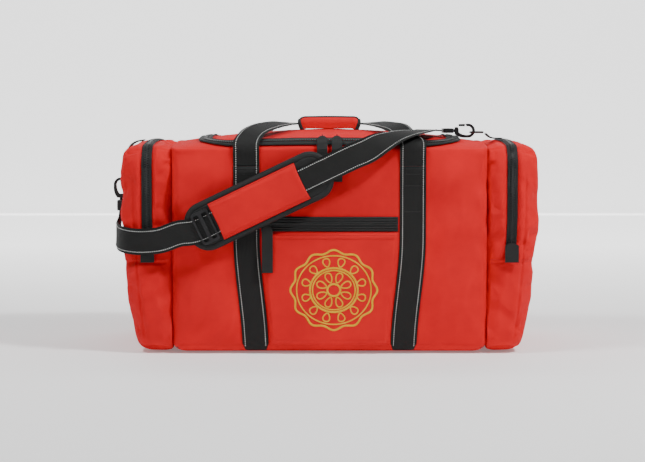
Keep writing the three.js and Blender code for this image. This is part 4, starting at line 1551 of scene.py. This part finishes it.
class BAG_OT_zips(bpy.types.Operator):
    """Zip tapes with their interlocking teeth and seams"""

    bl_idname = "gear_bag.zips"
    bl_label = "Zips"

    @staticmethod
    def flap_line(shift):
        """Rows along the flap's zip, shifted outwards from the edge of the opening."""
        x = OPEN_HALF_X + shift
        bend = OPEN_FRONT + OPEN_RADIUS
        arc = [p for p in opening(shift, 400) if p.y < bend]
        arc.sort(key=lambda p: p.x)
        lead = [Vector((-x, 0.080 - (0.080 - bend) * i / 30)) for i in range(30)]
        tail = [Vector((-p.x, p.y)) for p in reversed(lead)]
        rows = []
        for p in lead + arc + tail:
            rows.append((p.x, p.y, top_height(p.x, p.y), *top_normal(p.x, p.y), 0.013))
        return rows

    @staticmethod
    def chain(rows, lift):
        """The line of a zip's teeth along rows, with the way they face."""
        return [(Vector(r[:3]) + Vector(r[3:6]) * lift, Vector(r[3:6])) for r in rows]

    def execute(self, context):
        pitch = context.scene.bag_sizes.tooth_pitch
        for body, way in (("bag", 1), ("flap", -1)):
            rows = self.flap_line(way * 0.0073)
            raised = [(*(Vector(r[:3]) + Vector(r[3:6]) * 0.0009), *r[3:]) for r in rows]
            tape = ribbon(f"{body}_zip_tape", raised, "tape", 0.0016, 8)
            settle(tape, body, "zip_tape", f"flap_zip_tape_{body}")
            chain = self.chain(self.flap_line(way * 0.0013), 0.0028)
            teeth = row(f"{body}_zip_teeth", [chain], "tooth", "teeth", Pitch=pitch,
                        Length=pitch * 0.52, Width=0.0044, Height=0.0020)
            settle(teeth, body, "zip_tape")
            line = beside(raised, way * 0.0046, 0.0016)
            settle(stitch_row(f"{body}_zip_seam", [line], "dark_thread", 0.003), body, "zip_tape")
        for word, side in (("left", -1), ("right", 1)):
            rows = zip_path(side, 0.0009)
            tape = ribbon(f"{word}_end_zip_tape", rows, "tape", 0.0018, 12)
            settle(tape, "bag", "zip_tape", f"end_zip_{word}")
            chain = self.chain(rows, 0.0022)
            teeth = row(f"{word}_end_zip_teeth", [chain], "tooth", "teeth", Pitch=pitch * 0.5,
                        Length=pitch * 0.34, Width=0.0052, Height=0.0022, Zigzag=0.0012)
            settle(teeth, "bag", "zip_tape")
            lines = [beside(rows, k * 0.0078, 0.0018) for k in (-1, 1)]
            settle(stitch_row(f"{word}_end_zip_seams", lines, "dark_thread", 0.003), "bag", "zip_tape")
        self.pocket_zip()
        return {"FINISHED"}

    @staticmethod
    def pocket_zip():
        """The front pocket's zip: two ribbed tapes, and the teeth where they meet."""
        face = -DEPTH_HALF - 0.0005
        half = 0.130
        stops = 53
        steps = 40
        around = steps + 3
        lines = []
        for word, way in (("upper", 1), ("lower", -1)):
            inner = POCKET_ZIP_Z + way * 0.0001
            points = []
            for i in range(stops):
                x = half * (i / 26 - 1)
                for k in range(steps + 1):
                    v = k / steps
                    ribs = 0.5 - 0.5 * cos(2 * pi * v * 3.0)
                    points.append((x, face - 0.0010 - 0.0012 * ribs, inner + way * 0.0139 * v))
                points.append((x, face, inner + way * 0.0139))
                points.append((x, face, inner))
            faces = ring_faces(stops, around)
            faces.append(tuple(range(around)))
            faces.append(tuple((stops - 1) * around + k for k in reversed(range(around))))
            tape = turn_out(new_piece(f"pocket_zip_{word}_tape", points, faces, "tape"))
            settle(tape, "bag", "zip_tape", f"pocket_zip_{word}")
            z = POCKET_ZIP_Z + way * 0.0118
            lines.append([(Vector((0.128 * (i / 30 - 1), face - 0.0016, z)), FORWARD) for i in range(61)])
        settle(stitch_row("pocket_zip_seams", lines, "dark_thread", 0.003), "bag", "zip_tape")
        chain = [(Vector((0.129 * (i / 30 - 1), face - 0.0018, POCKET_ZIP_Z)), FORWARD) for i in range(61)]
        teeth = row("pocket_zip_teeth", [chain], "tooth", "teeth", Pitch=0.0022, Length=0.0015,
                    Width=0.0030, Height=0.0016, Zigzag=0.0005)
        settle(teeth, "bag", "zip_tape")


class BAG_OT_hardware(bpy.types.Operator):
    """Ring tabs, pull tabs and the finishes of the hooks, rings and sliders"""

    bl_idname = "gear_bag.hardware"
    bl_label = "Rings, hooks and pulls"

    def execute(self, context):
        for word, keys in RING_TABS.items():
            rows = smooth_path([(x, RING_Y, z, nx, 0.0, nz, 0.038) for x, z, nx, nz in keys], 0.002)
            settle(ribbon(f"{word}_ring_tab_webbing", rows), "bag", "black_webbing", f"ring_tab_{word}")
            lines = [beside(rows, k * 0.015) for k in (-1, 1)]
            stitches = stitch_row(f"{word}_ring_tab_stitches", lines, "dark_thread", 0.003)
            settle(stitches, "bag", "black_webbing")
        for name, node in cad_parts.items():
            if not node.hide_render and (name.endswith("_slider") or name.startswith(METAL_PARTS)):
                refinish(node, "hardware")
        for name, body in PULLS:
            pull = copied(name, f"{name}_tab", "binding", 0.0007)
            settle(pull, body, "black_webbing", name)
        return {"FINISHED"}


class BAG_OT_stage(bpy.types.Operator):
    """Pale floor and backdrop with a painted glow, soft studio light and the camera"""

    bl_idname = "gear_bag.stage"
    bl_label = "Stage"

    @staticmethod
    def point(holder, place, aim):
        """Puts a lamp or a camera at a place and turns it to look at another."""
        holder.location = place
        holder.rotation_euler = (aim - place).to_track_quat("-Z", "Y").to_euler()

    def execute(self, context):
        curve = [
            # y, z from the front of the floor to the top of the backdrop
            (-9.0, -0.0005), (2.6, -0.0005), (4.2, 0.04), (5.6, 0.3), (6.8, 1.0), (7.6, 2.4), (7.8, 5.0),
        ]
        path = smooth_path([(0.0, y, z) for y, z in curve], 0.12)
        points = [(x, y, z) for _, y, z in path for x in (-9.0, 9.0)]
        faces = [(2 * i, 2 * i + 1, 2 * i + 3, 2 * i + 2) for i in range(len(path) - 1)]
        # the paper of the floor and backdrop carries a painted glow, brighter towards the back
        FINISHES["stage"] = stage_finish("glowing_pale_paper")
        new_piece("backdrop", points, faces, "stage")
        world = bpy.data.worlds.new("studio")
        world.use_nodes = True
        sky = world.node_tree.nodes["Background"]
        sky.inputs["Color"].default_value = (1, 1, 1, 1)
        sky.inputs["Strength"].default_value = 0.12
        context.scene.world = world
        lights = [
            # name, place, width, height, watts
            ("key", (1.5, -1.15, 2.2), 0.4, 0.3, 72.0),
            ("fill", (-2.2, -2.6, 1.4), 1.0, 1.0, 9.0),
            ("top", (-1.2, -0.9, 2.1), 0.6, 0.4, 30.0),
            ("backdrop", (0.0, 1.6, 3.0), 4.0, 1.2, 60.0),
        ]
        for name, at, wide, high, watts in lights:
            lamp = bpy.data.lights.new(name, "AREA")
            lamp.shape = "RECTANGLE"
            lamp.size = wide
            lamp.size_y = high
            lamp.energy = watts
            aim = Vector((0, 2.8, 0.9)) if name == "backdrop" else Vector((0, 0, 0.2))
            self.point(shown(name, lamp), Vector(at), aim)
        lens = bpy.data.cameras.new("camera")
        lens.sensor_width = 36.0
        distance = 3.2
        view_width = 1.225
        lens.lens = lens.sensor_width * distance / view_width
        rise = radians(4.0)
        aim = Vector((-0.0135, -DEPTH_HALF, 0.232))
        eye = shown("camera", lens)
        self.point(eye, aim + distance * Vector((0.0, -cos(rise), sin(rise))), aim)
        context.scene.camera = eye
        return {"FINISHED"}


STEPS = (BAG_OT_stage, BAG_OT_body, BAG_OT_flap, BAG_OT_end_pockets, BAG_OT_front_pocket, BAG_OT_webbing,
         BAG_OT_grip, BAG_OT_shoulder_strap, BAG_OT_zips, BAG_OT_hardware)


class BAG_PT_panel(bpy.types.Panel):
    """Sizes, colours and build steps of the gear bag"""

    bl_idname = "BAG_PT_panel"
    bl_label = "Gear Bag"
    bl_space_type = "VIEW_3D"
    bl_region_type = "UI"
    bl_category = "Gear Bag"

    def draw(self, context):
        for group in (context.scene.bag_sizes, context.scene.bag_colours):
            for name in group.__annotations__:
                self.layout.prop(group, name)
        for step in STEPS:
            self.layout.operator(step.bl_idname)


CLASSES = (BagSizes, BagColours, *STEPS, BAG_PT_panel)


def register():
    for cls in CLASSES:
        bpy.utils.register_class(cls)
    bpy.types.Scene.bag_sizes = PointerProperty(type=BagSizes)
    bpy.types.Scene.bag_colours = PointerProperty(type=BagColours)


def unregister():
    del bpy.types.Scene.bag_colours
    del bpy.types.Scene.bag_sizes
    for cls in reversed(CLASSES):
        bpy.utils.unregister_class(cls)


def main():
    register()
    make_finishes()
    for step in STEPS:
        group, name = step.bl_idname.split(".")
        getattr(getattr(bpy.ops, group), name)()


if __name__ == "__main__":
    main()
